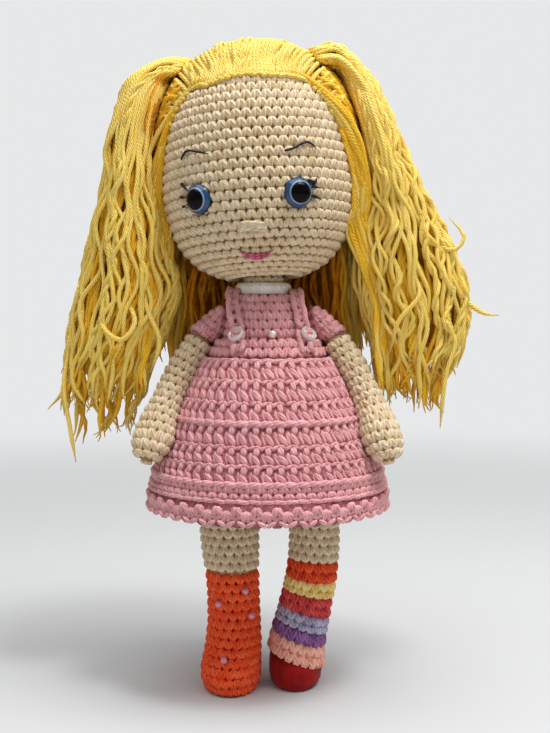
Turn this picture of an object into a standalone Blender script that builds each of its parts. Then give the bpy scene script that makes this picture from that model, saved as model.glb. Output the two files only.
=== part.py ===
"""A crocheted doll with long yarn hair, a pink dress and two odd socks.

The doll faces -Y and stands on z = 0. Lengths are metres.
"""
import math

import bmesh
import bpy
import numpy as np
from mathutils import Euler, Matrix, Vector

# Fabric and fits
GAP = 0.0003
OVERRUN = 0.004
WALL = 0.0022
THREAD_RADIUS = 0.00045

# Sides of round and oval things
ROUND_SIDES = 20
HOLE_SIDES = 12
CUP_SIDES = 16
TORSO_SIDES = 20
BAND_SIDES = 36
LEG_SIDES = 16
LEG_CORE_SIDES = 12
ARM_SIDES = 14
ARM_CORE_SIDES = 10
BEAD_SIDES = 10
HEAD_SIDES = 24
HAIR_SIDES = 16

# Legs: a ball at the hip, a stuffed tube, a foot cut flat below
HIP_HEIGHT = 0.098
HIP_SPREAD = 0.018
LEG_RADIUS = 0.0105
HIP_BALL_SHARE = 0.952
LEFT_SOCK_SHARE = 0.506
LEG_CORE_TOP_SHARE = 0.72
LEG_STEPS = 5
LEG_CORE_STEPS = 11
HIP_TOP_SHARE = 0.12
# height, sideways, backward, half width, half depth, tilt in degrees
LEFT_LEG_SHARES = (
    (0.000, 0.889, -0.571, 0.914, 1.381, 0.0),
    (0.020, 0.895, -0.571, 1.105, 1.560, 0.0),
    (0.050, 0.900, -0.560, 1.162, 1.600, 0.0),
    (0.090, 0.906, -0.543, 1.171, 1.552, 0.0),
    (0.170, 0.850, -0.440, 1.095, 1.295, 0.0),
    (0.255, 0.828, -0.324, 1.029, 1.124, 0.0),
    (0.360, 0.833, -0.267, 1.000, 1.038, 0.0),
    (0.506, 0.878, -0.210, 1.019, 1.030, 0.0),
    (0.655, 0.933, -0.114, 1.143, 1.143, 0.0),
    (0.780, 0.961, -0.057, 1.143, 1.143, 0.0),
    (0.900, 0.989, -0.020, 1.048, 1.048, 0.0),
    (1.000, 1.000, 0.000, 0.952, 0.952, 0.0),
)
RIGHT_LEG_SHARES = (
    (0.000, 0.661, -0.048, 0.857, 1.333, 0.0),
    (0.020, 0.665, -0.048, 1.050, 1.500, 1.0),
    (0.050, 0.670, -0.040, 1.105, 1.543, 3.0),
    (0.090, 0.678, -0.019, 1.124, 1.505, 6.0),
    (0.170, 0.733, 0.029, 1.076, 1.267, 11.0),
    (0.255, 0.811, 0.076, 0.990, 1.076, 12.0),
    (0.330, 0.906, 0.114, 0.962, 0.981, 12.0),
    (0.410, 0.994, 0.143, 0.952, 0.952, 12.0),
    (0.490, 1.078, 0.143, 0.971, 0.971, 10.0),
    (0.570, 1.122, 0.143, 0.971, 0.971, 8.0),
    (0.650, 1.144, 0.133, 0.971, 0.971, 5.0),
    (0.760, 1.133, 0.095, 0.981, 0.981, 2.0),
    (0.880, 1.089, 0.048, 0.981, 0.981, 0.0),
    (1.000, 1.000, 0.000, 0.952, 0.952, 0.0),
)
# The striped sock's yarns from the sole up, each with the height where it ends
STRIPE_SHARES = (
    ("toe", 0.127),
    ("peach", 0.210),
    ("purple", 0.267),
    ("blue", 0.335),
    ("raspberry", 0.392),
    ("yellow", 0.469),
    ("orange", 0.560),
)
SOCK_BEAD_RADIUS = 0.0015
# height up the leg, angle round it from the front in degrees
SOCK_BEAD_SHARES = (
    (0.447, -28.0),
    (0.390, 29.0),
    (0.335, -40.0),
    (0.160, 14.0),
)

# Torso: skin below the waist, a pink top above it
TORSO_RISE = 0.0733
TORSO_HALF_WIDTH = 0.0275
TORSO_HALF_DEPTH = 0.020
NECK_SHIFT = -0.002
# rise above the hips, half width, half depth, part of the neck's shift
TORSO_SHARES = (
    (0.093, 0.890, 0.850, 0.0),
    (0.123, 0.980, 0.930, 0.0),
    (0.218, 1.000, 1.000, 0.0),
    (0.382, 0.920, 0.960, 0.0),
    (0.546, 0.800, 0.900, 0.0),
    (0.628, 0.750, 0.870, 0.0),
    (0.709, 0.705, 0.850, 0.0),
    (0.791, 0.665, 0.820, 0.1),
    (0.887, 0.640, 0.740, 0.5),
    (0.948, 0.560, 0.660, 0.8),
    (0.986, 0.480, 0.600, 0.95),
    (1.000, 0.425, 0.560, 1.0),
)
TOP_SHARE = 0.628
TORSO_STEPS = 7

# Neck, with its collar round it
NECK_RADIUS = 0.0080
NECK_BALL_RADIUS = 0.0086
NECK_RISE = 0.0117
NECK_TOP_SHARE = 0.86
COLLAR_RADIUS = 0.0114
COLLAR_HEIGHT = 0.0047
COLLAR_FALL_SHARE = 0.92

# Dress: a waistband, a bell of a skirt and a scalloped edge
BAND_RISE = 0.0545
SKIRT_RISE = 0.0463
BAND_WALL_SHARE = 1.05
BAND_CURVE = 1.6
SKIRT_RADIUS = 0.0519
SKIRT_DROP = 0.057
# drop below the waist, half width, half depth
SKIRT_SHARES = (
    (0.000, 0.517, 0.479),
    (0.093, 0.579, 0.560),
    (0.190, 0.641, 0.632),
    (0.356, 0.726, 0.724),
    (0.567, 0.822, 0.822),
    (0.777, 0.917, 0.917),
    (1.000, 0.988, 0.988),
)
FOLD_COUNT = 6
SKIRT_SIDES = 42
FOLD_DEPTH = 0.0006
EDGE_DROP = 0.0080
EDGE_WALL = 0.0030
SCALLOP_COUNT = 40
SCALLOP_STEPS = 3
SCALLOP_DEPTH = 0.0022
# how far the slanted rim of the skirt dips, in shares of the fabric
RIM_TURN_SHARE = 0.35
STRAP_WIDTH = 0.0062
STRAP_THICKNESS = 0.0018
STRAP_TAIL = 0.0050
STRAP_FOOT_RISE = 0.0540
STRAP_CLEAR_SHARE = 0.25
STRAP_STEPS = 6
CREST_STEPS = 6
SLOPE_STEPS = 30
# where each strap crosses the shoulder and where its button holds it
STRAP_TOP_X = (-0.0153, 0.0124)
STRAP_FOOT_X = (-0.0119, 0.0163)
BUTTON_RADIUS = 0.0037
BUTTON_THICKNESS = 0.0016
BUTTON_RIM = 0.0008
BUTTON_HOLE_RADIUS = 0.0008
BUTTON_HOLE_SPREAD = 0.0014
BUTTON_RIM_SHARES = (0.62, 0.78, 0.92)
BUTTON_EDGE_SHARE = 0.8
BUTTON_LOOP_SHARES = (0.8, 0.6)
BEAD_RADIUS = 0.00175
BEAD_SHIFT = 0.0020

# Arms: they leave flats on the torso and lie on the dress
SHOULDER_RISE = 0.065
SHOULDER_X = 0.0176
SHOULDER_POCKET = 0.0078
ARM_DROP = 0.061
HAND_RADIUS = 0.0080
SLEEVE_SHARE = 0.16
ARM_CORE_SHARE = 0.955
ARM_TIP_SHARE = 0.1
ARM_STEP_SHARE = 0.02
# drop, angle to the front in degrees, how far out to the dress, radius, slant
ARM_SHARES = (
    (0.000, 0.0, 0.000, 0.64, 1.00),
    (0.055, 0.0, 0.380, 0.66, 1.25),
    (0.150, 2.0, 0.930, 0.64, 1.45),
    (0.230, 4.0, 1.000, 0.65, 1.38),
    (0.330, 6.5, 1.000, 0.68, 1.30),
    (0.485, 10.5, 1.000, 0.69, 1.22),
    (0.640, 15.5, 1.000, 0.73, 1.18),
    (0.770, 20.5, 1.000, 0.92, 1.08),
    (0.880, 24.5, 1.000, 1.00, 1.03),
    (0.945, 26.5, 1.000, 0.86, 1.10),
    (0.985, 27.5, 1.000, 0.58, 1.40),
    (1.000, 28.0, 1.000, 0.25, 2.40),
)

# Head: a stuffed ball, widest below its middle, leaning a little
HEAD_RADIUS = 0.0414
HEAD_HEIGHT = 0.096
HEAD_SINK = 0.0045
HEAD_DEPTH_SHARE = 0.955
HEAD_LEAN = (math.radians(-3.0), math.radians(-3.4), math.radians(-5.0))
NECK_HOLE_RADIUS = 0.0094
HEAD_TIP_SHARE = 0.03
DOME_STEPS = 5
HEAD_SHARES = (
    (0.000, 0.240),
    (0.018, 0.450),
    (0.070, 0.676),
    (0.116, 0.780),
    (0.182, 0.884),
    (0.276, 0.955),
    (0.390, 1.000),
    (0.526, 0.985),
    (0.665, 0.935),
    (0.755, 0.865),
    (0.850, 0.730),
    (0.930, 0.530),
    (0.980, 0.300),
    (1.000, 0.080),
)

# Face, placed from the middle of the face and the height above the neck's ball
EYE_X = 0.0208
EYE_RISE = 0.0266
EYE_RADIUS = 0.0062
EYE_HEIGHT = 0.0040
EYE_FLANGE = 0.0008
SHANK_RADIUS = 0.0016
SHANK_LENGTH = 0.0070
WASHER_RADIUS = 0.0052
WASHER_THICKNESS = 0.0012
WASHER_SEAT = 0.0013
NOSE_RISE = 0.0130
NOSE_HALF = (0.0056, 0.0021, 0.0024)
MOUTH_RISE = 0.0026
MOUTH_HALF = (0.0068, 0.0013, 0.0014)
MOUTH_CURVE = 0.0016
MOUTH_DEPTH_SHARE = 0.3
MOUTH_SHARES = (-0.98, -0.75, -0.4, 0, 0.4, 0.75, 0.98)
# brow points as shares of the eye's place, from the nose outwards
BROW_SHARES = {
    "left": ((0.75, 1.70), (0.93, 1.74), (1.13, 1.78), (1.22, 1.75), (1.29, 1.64)),
    "right": ((0.755, 1.684), (0.947, 1.718), (1.125, 1.786), (1.228, 1.793), (1.322, 1.744), (1.375, 1.673)),
}
# lash points out from the eye's middle as shares of the eye's radius
LASH_SHARES = ((0.95, 0.98), (1.62, 1.36), (1.22, 0.62), (1.88, 0.62), (1.30, 0.22), (1.86, -0.02))

# Hair: a layer over the head, a curtain at each side and one behind
HAIR_LAYER = 0.0070
HAIR_FLOOR_SHARE = 0.21
HAIRLINE_RISE = 0.080
HAIRLINE_REACH = 0.022
HAIRLINE_LEAN = math.radians(15.0)
HAIR_REACH = 0.090
HAIR_TOP = 0.0875
HAIR_LENGTH = 0.167
# drop below the top, outer edge, inner edge, front, back, in shares of the reach
LEFT_HAIR_SHARES = (
    (0.000, 0.530, 0.420, -0.065, 0.040),
    (0.036, 0.660, 0.310, -0.125, 0.140),
    (0.110, 0.730, 0.300, -0.160, 0.190),
    (0.220, 0.770, 0.330, -0.180, 0.210),
    (0.350, 0.810, 0.380, -0.190, 0.220),
    (0.480, 0.870, 0.410, -0.190, 0.225),
    (0.600, 0.925, 0.440, -0.185, 0.230),
    (0.720, 0.980, 0.490, -0.175, 0.230),
    (0.840, 1.000, 0.580, -0.150, 0.225),
    (0.930, 0.995, 0.645, -0.115, 0.205),
    (1.000, 0.955, 0.700, -0.065, 0.160),
)
RIGHT_HAIR_SHARES = (
    (0.000, 0.430, 0.290, -0.055, 0.040),
    (0.036, 0.500, 0.240, -0.115, 0.120),
    (0.110, 0.570, 0.260, -0.155, 0.180),
    (0.220, 0.650, 0.310, -0.175, 0.205),
    (0.350, 0.770, 0.380, -0.185, 0.220),
    (0.480, 0.905, 0.410, -0.190, 0.225),
    (0.600, 0.975, 0.445, -0.185, 0.230),
    (0.720, 1.000, 0.500, -0.175, 0.230),
    (0.820, 0.965, 0.570, -0.150, 0.220),
    (0.890, 0.900, 0.630, -0.115, 0.195),
    (0.940, 0.830, 0.680, -0.065, 0.140),
)
BACK_HAIR_LENGTH = 0.082
BACK_HAIR_SPAN = math.radians(64.0)
BACK_HAIR_STANDOFF = 0.0032
BACK_HAIR_THICKNESS = 0.0052
BACK_HAIR_STEPS = 4
# how far each lock of the back hair reaches
BACK_LOCK_SHARES = (0.95, 1.00, 0.93, 0.98, 0.91)
# drop, part of the head's radius that it clears, thickness
BACK_HAIR_SHARES = (
    (0.00, 0.925, 0.80),
    (0.14, 0.870, 1.10),
    (0.32, 0.830, 1.15),
    (0.50, 0.830, 1.15),
    (0.66, 0.850, 1.10),
    (0.82, 0.880, 1.00),
    (0.93, 0.880, 0.85),
    (1.00, 0.880, 0.55),
)

# Places that follow from the sizes above
TORSO_TOP = HIP_HEIGHT + TORSO_RISE
WAIST_HEIGHT = HIP_HEIGHT + SKIRT_RISE
BAND_TOP = HIP_HEIGHT + BAND_RISE
SHOULDER_HEIGHT = HIP_HEIGHT + SHOULDER_RISE
NECK_PIVOT = Vector((NECK_SHIFT, 0, TORSO_TOP + NECK_RISE))
HIP_BALL_RADIUS = LEG_RADIUS * HIP_BALL_SHARE
CORE_INSET = WALL + GAP
LEG_TABLES = {"left": LEFT_LEG_SHARES, "right": RIGHT_LEG_SHARES}
HAIR_TABLES = {"left": LEFT_HAIR_SHARES, "right": RIGHT_HAIR_SHARES}
SIGNS = {"left": -1, "right": 1}

for old in list(bpy.data.objects):
    bpy.data.objects.remove(old)

parts = bpy.data.collections.new("amigurumi_doll")
cutters = bpy.data.collections.new("cutters")
bpy.context.scene.collection.children.link(parts)
bpy.context.scene.collection.children.link(cutters)


def paint(name, colour, roughness=0.9):
    material = bpy.data.materials.new(name)
    material.use_nodes = True
    shader = material.node_tree.nodes["Principled BSDF"]
    shader.inputs["Base Color"].default_value = (*colour, 1)
    shader.inputs["Roughness"].default_value = roughness
    material.diffuse_color = (*colour, 1)
    return material


SKIN = paint("skin_yarn", (0.80, 0.62, 0.40))
PINK = paint("pink_yarn", (0.76, 0.36, 0.41))
WHITE = paint("white_yarn", (0.82, 0.78, 0.72))
HAIR = paint("hair_yarn", (0.85, 0.62, 0.12))
STUFFING = paint("stuffing", (0.88, 0.88, 0.86), 1.0)
BLACK = paint("black_thread", (0.02, 0.015, 0.015))
ROSE = paint("rose_thread", (0.52, 0.08, 0.16))
EYE = paint("eye_plastic", (0.02, 0.10, 0.30), 0.1)
WASHER = paint("washer_plastic", (0.75, 0.75, 0.72), 0.5)
BUTTON = paint("button_plastic", (0.86, 0.82, 0.80), 0.2)
PEARL = paint("pearl", (0.88, 0.80, 0.76), 0.15)
BEAD = paint("bead_plastic", (0.80, 0.28, 0.36), 0.2)
ORANGE = paint("orange_yarn", (0.76, 0.10, 0.03))
STRIPES = {
    "toe": paint("dark_red_yarn", (0.32, 0.01, 0.01)),
    "peach": paint("peach_yarn", (0.80, 0.42, 0.33)),
    "purple": paint("purple_yarn", (0.20, 0.08, 0.22)),
    "blue": paint("blue_yarn", (0.30, 0.30, 0.42)),
    "raspberry": paint("raspberry_yarn", (0.45, 0.05, 0.08)),
    "yellow": paint("yellow_yarn", (0.78, 0.55, 0.15)),
    "orange": paint("vermilion_yarn", (0.72, 0.09, 0.02)),
}


def empty(name, place, parent=None, turn=None):
    frame = bpy.data.objects.new(name, None)
    parts.objects.link(frame)
    frame.parent = parent
    frame.location = place
    if turn:
        frame.rotation_euler = turn
    return frame


# The head leans on its own frame; the hair hangs plumb beside it
DOLL = empty("doll", (0, 0, 0))
NECK_FRAME = empty("neck_pivot", NECK_PIVOT, DOLL)
HEAD_FRAME = empty("head_lean", (0, 0, 0), NECK_FRAME, Euler(HEAD_LEAN))
SHOULDERS = {
    side: empty("shoulder_" + side, (sign * SHOULDER_X, 0, SHOULDER_HEIGHT), DOLL)
    for side, sign in SIGNS.items()
}
HIPS = {
    side: empty("hip_" + side, (sign * HIP_SPREAD, 0, HIP_HEIGHT), DOLL)
    for side, sign in SIGNS.items()
}


def place(name, mesh, material, frame=DOLL, cutter=False):
    """An object under a frame; a cutter stays out of the render."""
    thing = bpy.data.objects.new(name, mesh)
    (cutters if cutter else parts).objects.link(thing)
    thing.parent = frame
    if material:
        mesh.materials.append(material)
    if cutter:
        thing.hide_render = True
        thing.display_type = "WIRE"
    return thing


def close(shape, name):
    bmesh.ops.recalc_face_normals(shape, faces=shape.faces)
    mesh = bpy.data.meshes.new(name)
    shape.to_mesh(mesh)
    shape.free()
    return mesh


def loft(name, rings, material, frame=DOLL, cutter=False, capped=True):
    """A skin over a stack of rings, each a list of as many points."""
    shape = bmesh.new()
    loops = [[shape.verts.new(point) for point in ring] for ring in rings]
    for lower, upper in zip(loops, loops[1:]):
        for k in range(len(lower)):
            shape.faces.new((lower[k - 1], lower[k], upper[k], upper[k - 1]))
    if capped:
        shape.faces.new(loops[0])
        shape.faces.new(loops[-1])
    return place(name, close(shape, name), material, frame, cutter)


def ball(name, radii, at, material, frame=DOLL, cutter=False, sides=CUP_SIDES):
    shape = bmesh.new()
    bmesh.ops.create_uvsphere(shape, u_segments=sides, v_segments=sides // 2, radius=1)
    bmesh.ops.transform(shape, matrix=Matrix.Diagonal((*radii, 1)), verts=shape.verts)
    thing = place(name, close(shape, name), material, frame, cutter)
    thing.location = at
    return thing


def rod(name, radius, start, end, frame=DOLL, sides=ROUND_SIDES):
    """A cylinder between two points, to cut with."""
    start, end = Vector(start), Vector(end)
    run = end - start
    shape = bmesh.new()
    bmesh.ops.create_cone(
        shape, cap_ends=True, segments=sides, radius1=radius, radius2=radius, depth=run.length
    )
    turn = run.to_track_quat("Z", "Y").to_matrix().to_4x4()
    bmesh.ops.transform(
        shape, matrix=Matrix.Translation((start + end) / 2) @ turn, verts=shape.verts
    )
    return place(name, close(shape, name), None, frame, cutter=True)


def turned(name, profile, material, frame, sides=ROUND_SIDES):
    """A profile of (radius, height) points, turned about Z."""
    mesh = bpy.data.meshes.new(name)
    edges = [(k, k + 1) for k in range(len(profile) - 1)]
    mesh.from_pydata([(radius, 0, height) for radius, height in profile], edges, [])
    thing = place(name, mesh, material, frame)
    screw = thing.modifiers.new("turn", "SCREW")
    screw.steps = sides
    screw.render_steps = sides
    screw.use_merge_vertices = True
    screw.merge_threshold = 1e-5
    return thing


def thread(name, points, radius, material, frame):
    """A thread laid along points, with closed ends."""
    line = bpy.data.curves.new(name, "CURVE")
    line.dimensions = "3D"
    line.bevel_depth = radius
    line.bevel_resolution = 1
    line.use_fill_caps = True
    spline = line.splines.new("POLY")
    spline.points.add(len(points) - 1)
    for point, spot in zip(spline.points, points):
        point.co = (*spot, 1)
    line.materials.append(material)
    thing = bpy.data.objects.new(name, line)
    parts.objects.link(thing)
    thing.parent = frame
    return thing


def cut(thing, *tools):
    for tool in tools:
        step = thing.modifiers.new("cut_" + tool.name, "BOOLEAN")
        step.operation = "DIFFERENCE"
        step.solver = "EXACT"
        step.object = tool


def ease(table, spot):
    """A table's row at a place in its first column, on a smooth line through the rows."""
    rows = np.array(table, dtype=float)
    stops, values = rows[:, 0], rows[:, 1:]
    slopes = np.gradient(values, stops, axis=0)
    spot = min(max(spot, stops[0]), stops[-1])
    k = min(int(np.searchsorted(stops, spot, side="right")) - 1, len(stops) - 2)
    span = stops[k + 1] - stops[k]
    t = (spot - stops[k]) / span
    keep = 2 * t**3 - 3 * t**2 + 1
    rise = t**3 - 2 * t**2 + t
    fall = t**3 - t**2
    return (
        keep * values[k]
        + (1 - keep) * values[k + 1]
        + span * (rise * slopes[k] + fall * slopes[k + 1])
    )


def oval(centre, half_x, half_y, sides, turn=None):
    """Points round an oval; turn carries it from the XY plane."""
    points = []
    for k in range(sides):
        angle = 2 * math.pi * k / sides
        point = Vector((half_x * math.cos(angle), half_y * math.sin(angle), 0))
        points.append(Vector(centre) + (turn @ point if turn else point))
    return points


def spread(low, high, count):
    return [low + (high - low) * k / count for k in range(count + 1)]


# Dress


def dress_half(height):
    """Half the dress's width and depth at a height, on the band or the skirt."""
    drop = (WAIST_HEIGHT - height) / SKIRT_DROP
    if drop >= 0:
        wide, deep = ease(SKIRT_SHARES, drop) * SKIRT_RADIUS
        return wide, deep
    wide, deep = ease(SKIRT_SHARES, 0) * SKIRT_RADIUS
    up = min((height - WAIST_HEIGHT) / (BAND_TOP - WAIST_HEIGHT), 1)
    top_wide = torso_half(BAND_TOP)[0] + WALL * BAND_WALL_SHARE
    top_deep = torso_half(BAND_TOP)[1] + WALL * BAND_WALL_SHARE
    settle = 1 - (1 - up) ** BAND_CURVE
    return wide + (top_wide - wide) * settle, deep + (top_deep - deep) * settle


def torso_half(height):
    wide, deep, lean = ease(TORSO_SHARES, (height - HIP_HEIGHT) / TORSO_RISE)
    return wide * TORSO_HALF_WIDTH, deep * TORSO_HALF_DEPTH, lean * NECK_SHIFT


def torso_ring(height, grow=0):
    wide, deep, lean = torso_half(height)
    return oval((lean, 0, height), wide + grow, deep + grow, TORSO_SIDES)


def torso_levels(low_share, high_share, trim_low=0, trim_high=0):
    """Heights of the torso's rings between two shares of its rise."""
    inside = [row[0] for row in TORSO_SHARES if low_share < row[0] < high_share]
    shares = [low_share, *inside, high_share]
    levels = [HIP_HEIGHT + TORSO_RISE * share for share in shares]
    levels[0] += trim_low
    levels[-1] -= trim_high
    return levels


def make_torso():
    bottom, top = TORSO_SHARES[0][0], 1.0
    lower = loft(
        "torso_lower",
        [torso_ring(level) for level in torso_levels(bottom, TOP_SHARE, 0, GAP)],
        SKIN,
    )
    shirt = loft("torso_top", [torso_ring(level) for level in torso_levels(TOP_SHARE, top)], PINK)
    cup_top = HIP_BALL_RADIUS + GAP + WALL
    core_low = HIP_HEIGHT + cup_top
    core_high = TORSO_TOP - CORE_INSET
    levels = spread(core_low, core_high, TORSO_STEPS)
    loft("torso_stuffing", [torso_ring(level, -CORE_INSET) for level in levels], STUFFING)
    cavity_levels = spread(core_low - GAP, core_high + GAP, TORSO_STEPS)
    cavity = loft(
        "torso_cavity", [torso_ring(level, -WALL) for level in cavity_levels], None, cutter=True
    )
    cut(lower, cavity)
    cut(shirt, cavity)
    for side, sign in SIGNS.items():
        cup = ball(
            "hip_cup_" + side,
            [HIP_BALL_RADIUS + GAP] * 3,
            (sign * HIP_SPREAD, 0, HIP_HEIGHT),
            None,
            cutter=True,
        )
        cut(lower, cup)
        pocket = rod(
            "shoulder_pocket_" + side,
            SHOULDER_POCKET,
            (sign * SHOULDER_X, 0, SHOULDER_HEIGHT),
            (sign * (TORSO_HALF_WIDTH + OVERRUN), 0, SHOULDER_HEIGHT),
        )
        cut(shirt, pocket)


def make_neck():
    low = GAP - NECK_RISE
    ball_low = -math.sqrt(NECK_BALL_RADIUS**2 - (NECK_RADIUS * NECK_TOP_SHARE) ** 2)
    stalk = [(0, low), (NECK_RADIUS, low), (NECK_RADIUS, low + COLLAR_HEIGHT)]
    stalk.append((NECK_RADIUS * NECK_TOP_SHARE, ball_low))
    start = math.asin(ball_low / NECK_BALL_RADIUS)
    for angle in spread(start, math.pi / 2, DOME_STEPS)[1:-1]:
        stalk.append((NECK_BALL_RADIUS * math.cos(angle), NECK_BALL_RADIUS * math.sin(angle)))
    stalk.append((0, NECK_BALL_RADIUS))
    turned("neck", stalk[::-1], SKIN, NECK_FRAME)
    inner = NECK_RADIUS + GAP
    fall = COLLAR_HEIGHT * (1 - COLLAR_FALL_SHARE)
    edge = inner + (COLLAR_RADIUS - inner) * COLLAR_FALL_SHARE
    low = TORSO_TOP + GAP
    profile = [
        (inner, low + COLLAR_HEIGHT),
        (edge, low + COLLAR_HEIGHT),
        (COLLAR_RADIUS, low + COLLAR_HEIGHT - fall),
        (COLLAR_RADIUS, low + fall),
        (edge, low),
        (inner, low),
        (inner, low + COLLAR_HEIGHT),
    ]
    collar = turned("collar", profile, WHITE, DOLL)
    collar.location = (NECK_SHIFT, 0, 0)
    return rod(
        "collar_room",
        COLLAR_RADIUS + GAP,
        (NECK_SHIFT, 0, TORSO_TOP),
        (NECK_SHIFT, 0, TORSO_TOP + COLLAR_HEIGHT + OVERRUN),
    )


def make_dress(collar_room):
    levels = spread(WAIST_HEIGHT + GAP, BAND_TOP, TORSO_STEPS // 2)
    rings = [oval((0, 0, level), *dress_half(level), BAND_SIDES) for level in levels]
    band = loft("dress_waistband", rings, PINK)
    clear = loft(
        "torso_room",
        [
            torso_ring(level, GAP)
            for level in spread(WAIST_HEIGHT - OVERRUN, BAND_TOP + OVERRUN, TORSO_STEPS)
        ],
        None,
        cutter=True,
    )
    cut(band, clear)
    rings = []
    for share, wide, deep in SKIRT_SHARES:
        ring = []
        for k in range(SKIRT_SIDES):
            angle = 2 * math.pi * k / SKIRT_SIDES
            wave = FOLD_DEPTH * share**2 * (math.cos(FOLD_COUNT * angle) - 1)
            ring.append(
                (
                    (wide * SKIRT_RADIUS + wave) * math.cos(angle),
                    (deep * SKIRT_RADIUS + wave) * math.sin(angle),
                    WAIST_HEIGHT - share * SKIRT_DROP,
                )
            )
        rings.append(ring)
    skirt = loft("dress_skirt", rings, PINK, capped=False)
    skin = skirt.modifiers.new("fabric", "SOLIDIFY")
    skin.thickness = WALL
    skin.offset = -1
    make_edging()
    for index, side in enumerate(SIGNS):
        strap = make_strap(side, STRAP_TOP_X[index], STRAP_FOOT_X[index])
        cut(strap, collar_room)
    spot = BAND_TOP + BEAD_RADIUS + GAP
    front = torso_half(spot)[1] + BEAD_RADIUS + GAP
    at = (BEAD_SHIFT, -front, spot)
    ball("bib_bead", [BEAD_RADIUS] * 3, at, PEARL, sides=BEAD_SIDES)


def make_edging():
    """A row of small shells round the hem."""
    top = WAIST_HEIGHT - SKIRT_DROP - GAP - WALL * RIM_TURN_SHARE
    outer = SKIRT_RADIUS
    shape = bmesh.new()
    steps = SCALLOP_COUNT * SCALLOP_STEPS
    loops = []
    for k in range(steps):
        angle = 2 * math.pi * k / steps
        swell = abs(math.sin(angle * SCALLOP_COUNT / 2))
        low = top - EDGE_DROP + SCALLOP_DEPTH * (1 - swell)
        corners = (
            (outer * SKIRT_SHARES[-1][1], top),
            (outer, (top + low) / 2),
            (outer - EDGE_WALL / 2, low),
            (outer - EDGE_WALL, top),
        )
        loops.append(
            [
                shape.verts.new((radius * math.cos(angle), radius * math.sin(angle), height))
                for radius, height in corners
            ]
        )
    for k, loop in enumerate(loops):
        for j in range(len(loop)):
            shape.faces.new((loops[k - 1][j - 1], loops[k - 1][j], loop[j], loop[j - 1]))
    place("dress_edging", close(shape, "dress_edging"), PINK)


def front_of_body(across, height, grow):
    """How far forward the torso or the band stands at a place."""
    wide, deep, lean = torso_half(height)
    reach = [(wide + grow, deep + grow, lean)]
    if height < BAND_TOP + STRAP_THICKNESS:
        band_wide, band_deep = dress_half(min(height, BAND_TOP))
        reach.append((band_wide + grow, band_deep + grow, 0))
    depths = []
    for half_x, half_y, middle in reach:
        inside = 1 - ((across - middle) / half_x) ** 2
        depths.append(half_y * math.sqrt(max(inside, 0)))
    return max(depths)


def shoulder_top(across):
    """Height and downward slope of the torso's shoulder at a place across."""
    shares = spread(TOP_SHARE, 1, SLOPE_STEPS)[::-1]
    heights = [HIP_HEIGHT + TORSO_RISE * share for share in shares]
    edges = []
    for height in heights:
        wide, _, lean = torso_half(height)
        edges.append(abs(lean + math.copysign(wide, across)))
    step = STRAP_WIDTH / 4
    low, high = np.interp([abs(across) + step, abs(across) - step], edges, heights)
    return float(np.interp(abs(across), edges, heights)), math.atan2(high - low, 2 * step)


def make_strap(side, top_x, foot_x):
    """A strap from behind the waist, over the shoulder, to its button in front."""
    sign = SIGNS[side]
    foot = HIP_HEIGHT + STRAP_FOOT_RISE
    lift = GAP + STRAP_THICKNESS / 2
    tip = foot - STRAP_TAIL
    heights = spread(tip, TORSO_TOP - STRAP_WIDTH, STRAP_STEPS)
    sides = []
    for toward in (-1, 1):
        run = []
        for height in heights:
            share = max(height - foot, 0) / (TORSO_TOP - STRAP_WIDTH - foot)
            across = foot_x + (top_x - foot_x) * share
            edge = abs(across) + STRAP_WIDTH / 2
            reach = front_of_body(across, height, lift)
            outer = front_of_body(math.copysign(edge, across), height, lift)
            inner = front_of_body(math.copysign(edge - STRAP_WIDTH, across), height, lift)
            reach = max(reach, (inner + outer) / 2) + STRAP_THICKNESS * STRAP_CLEAR_SHARE
            lean = math.atan2(inner - outer, STRAP_WIDTH)
            run.append((Vector((across, toward * reach, height)), -toward * sign * lean))
        sides.append(run)
    crest = []
    top, slope = shoulder_top(top_x)
    for turn in spread(0, math.pi, CREST_STEPS)[1:-1]:
        start = sides[0][-1][0]
        rise = (top + lift / math.cos(slope) - start.z) * math.sin(turn)
        crest.append((Vector((top_x, start.y * math.cos(turn), start.z + rise)), None))
    route = sides[0] + crest + sides[1][::-1]
    rings = []
    for k, (centre, lean) in enumerate(route):
        before = route[max(k - 1, 0)][0]
        after = route[min(k + 1, len(route) - 1)][0]
        along = (after - before).normalized()
        if lean is not None:
            across = Vector((math.cos(lean), math.sin(lean), 0))
        else:
            across = Vector((math.cos(slope), 0, -sign * math.sin(slope)))
        across = (across - along * across.dot(along)).normalized()
        out = along.cross(across)
        half, thick = STRAP_WIDTH / 2, STRAP_THICKNESS / 2
        rings.append(
            [
                centre + across * (half * x) + out * (thick * y)
                for x, y in ((-1, -1), (1, -1), (1, 1), (-1, 1))
            ]
        )
    strap = loft("strap_" + side, rings, PINK)
    held = min(range(len(heights)), key=lambda k: abs(heights[k] - foot))
    corners = rings[held]
    across = (corners[1] - corners[0]).normalized()
    along = (route[held + 1][0] - route[held][0]).normalized()
    out = along.cross(across)
    if out.y > 0:
        out = -out
    make_button(side, route[held][0] + out * (STRAP_THICKNESS / 2 + GAP), out, strap)
    return strap


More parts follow.
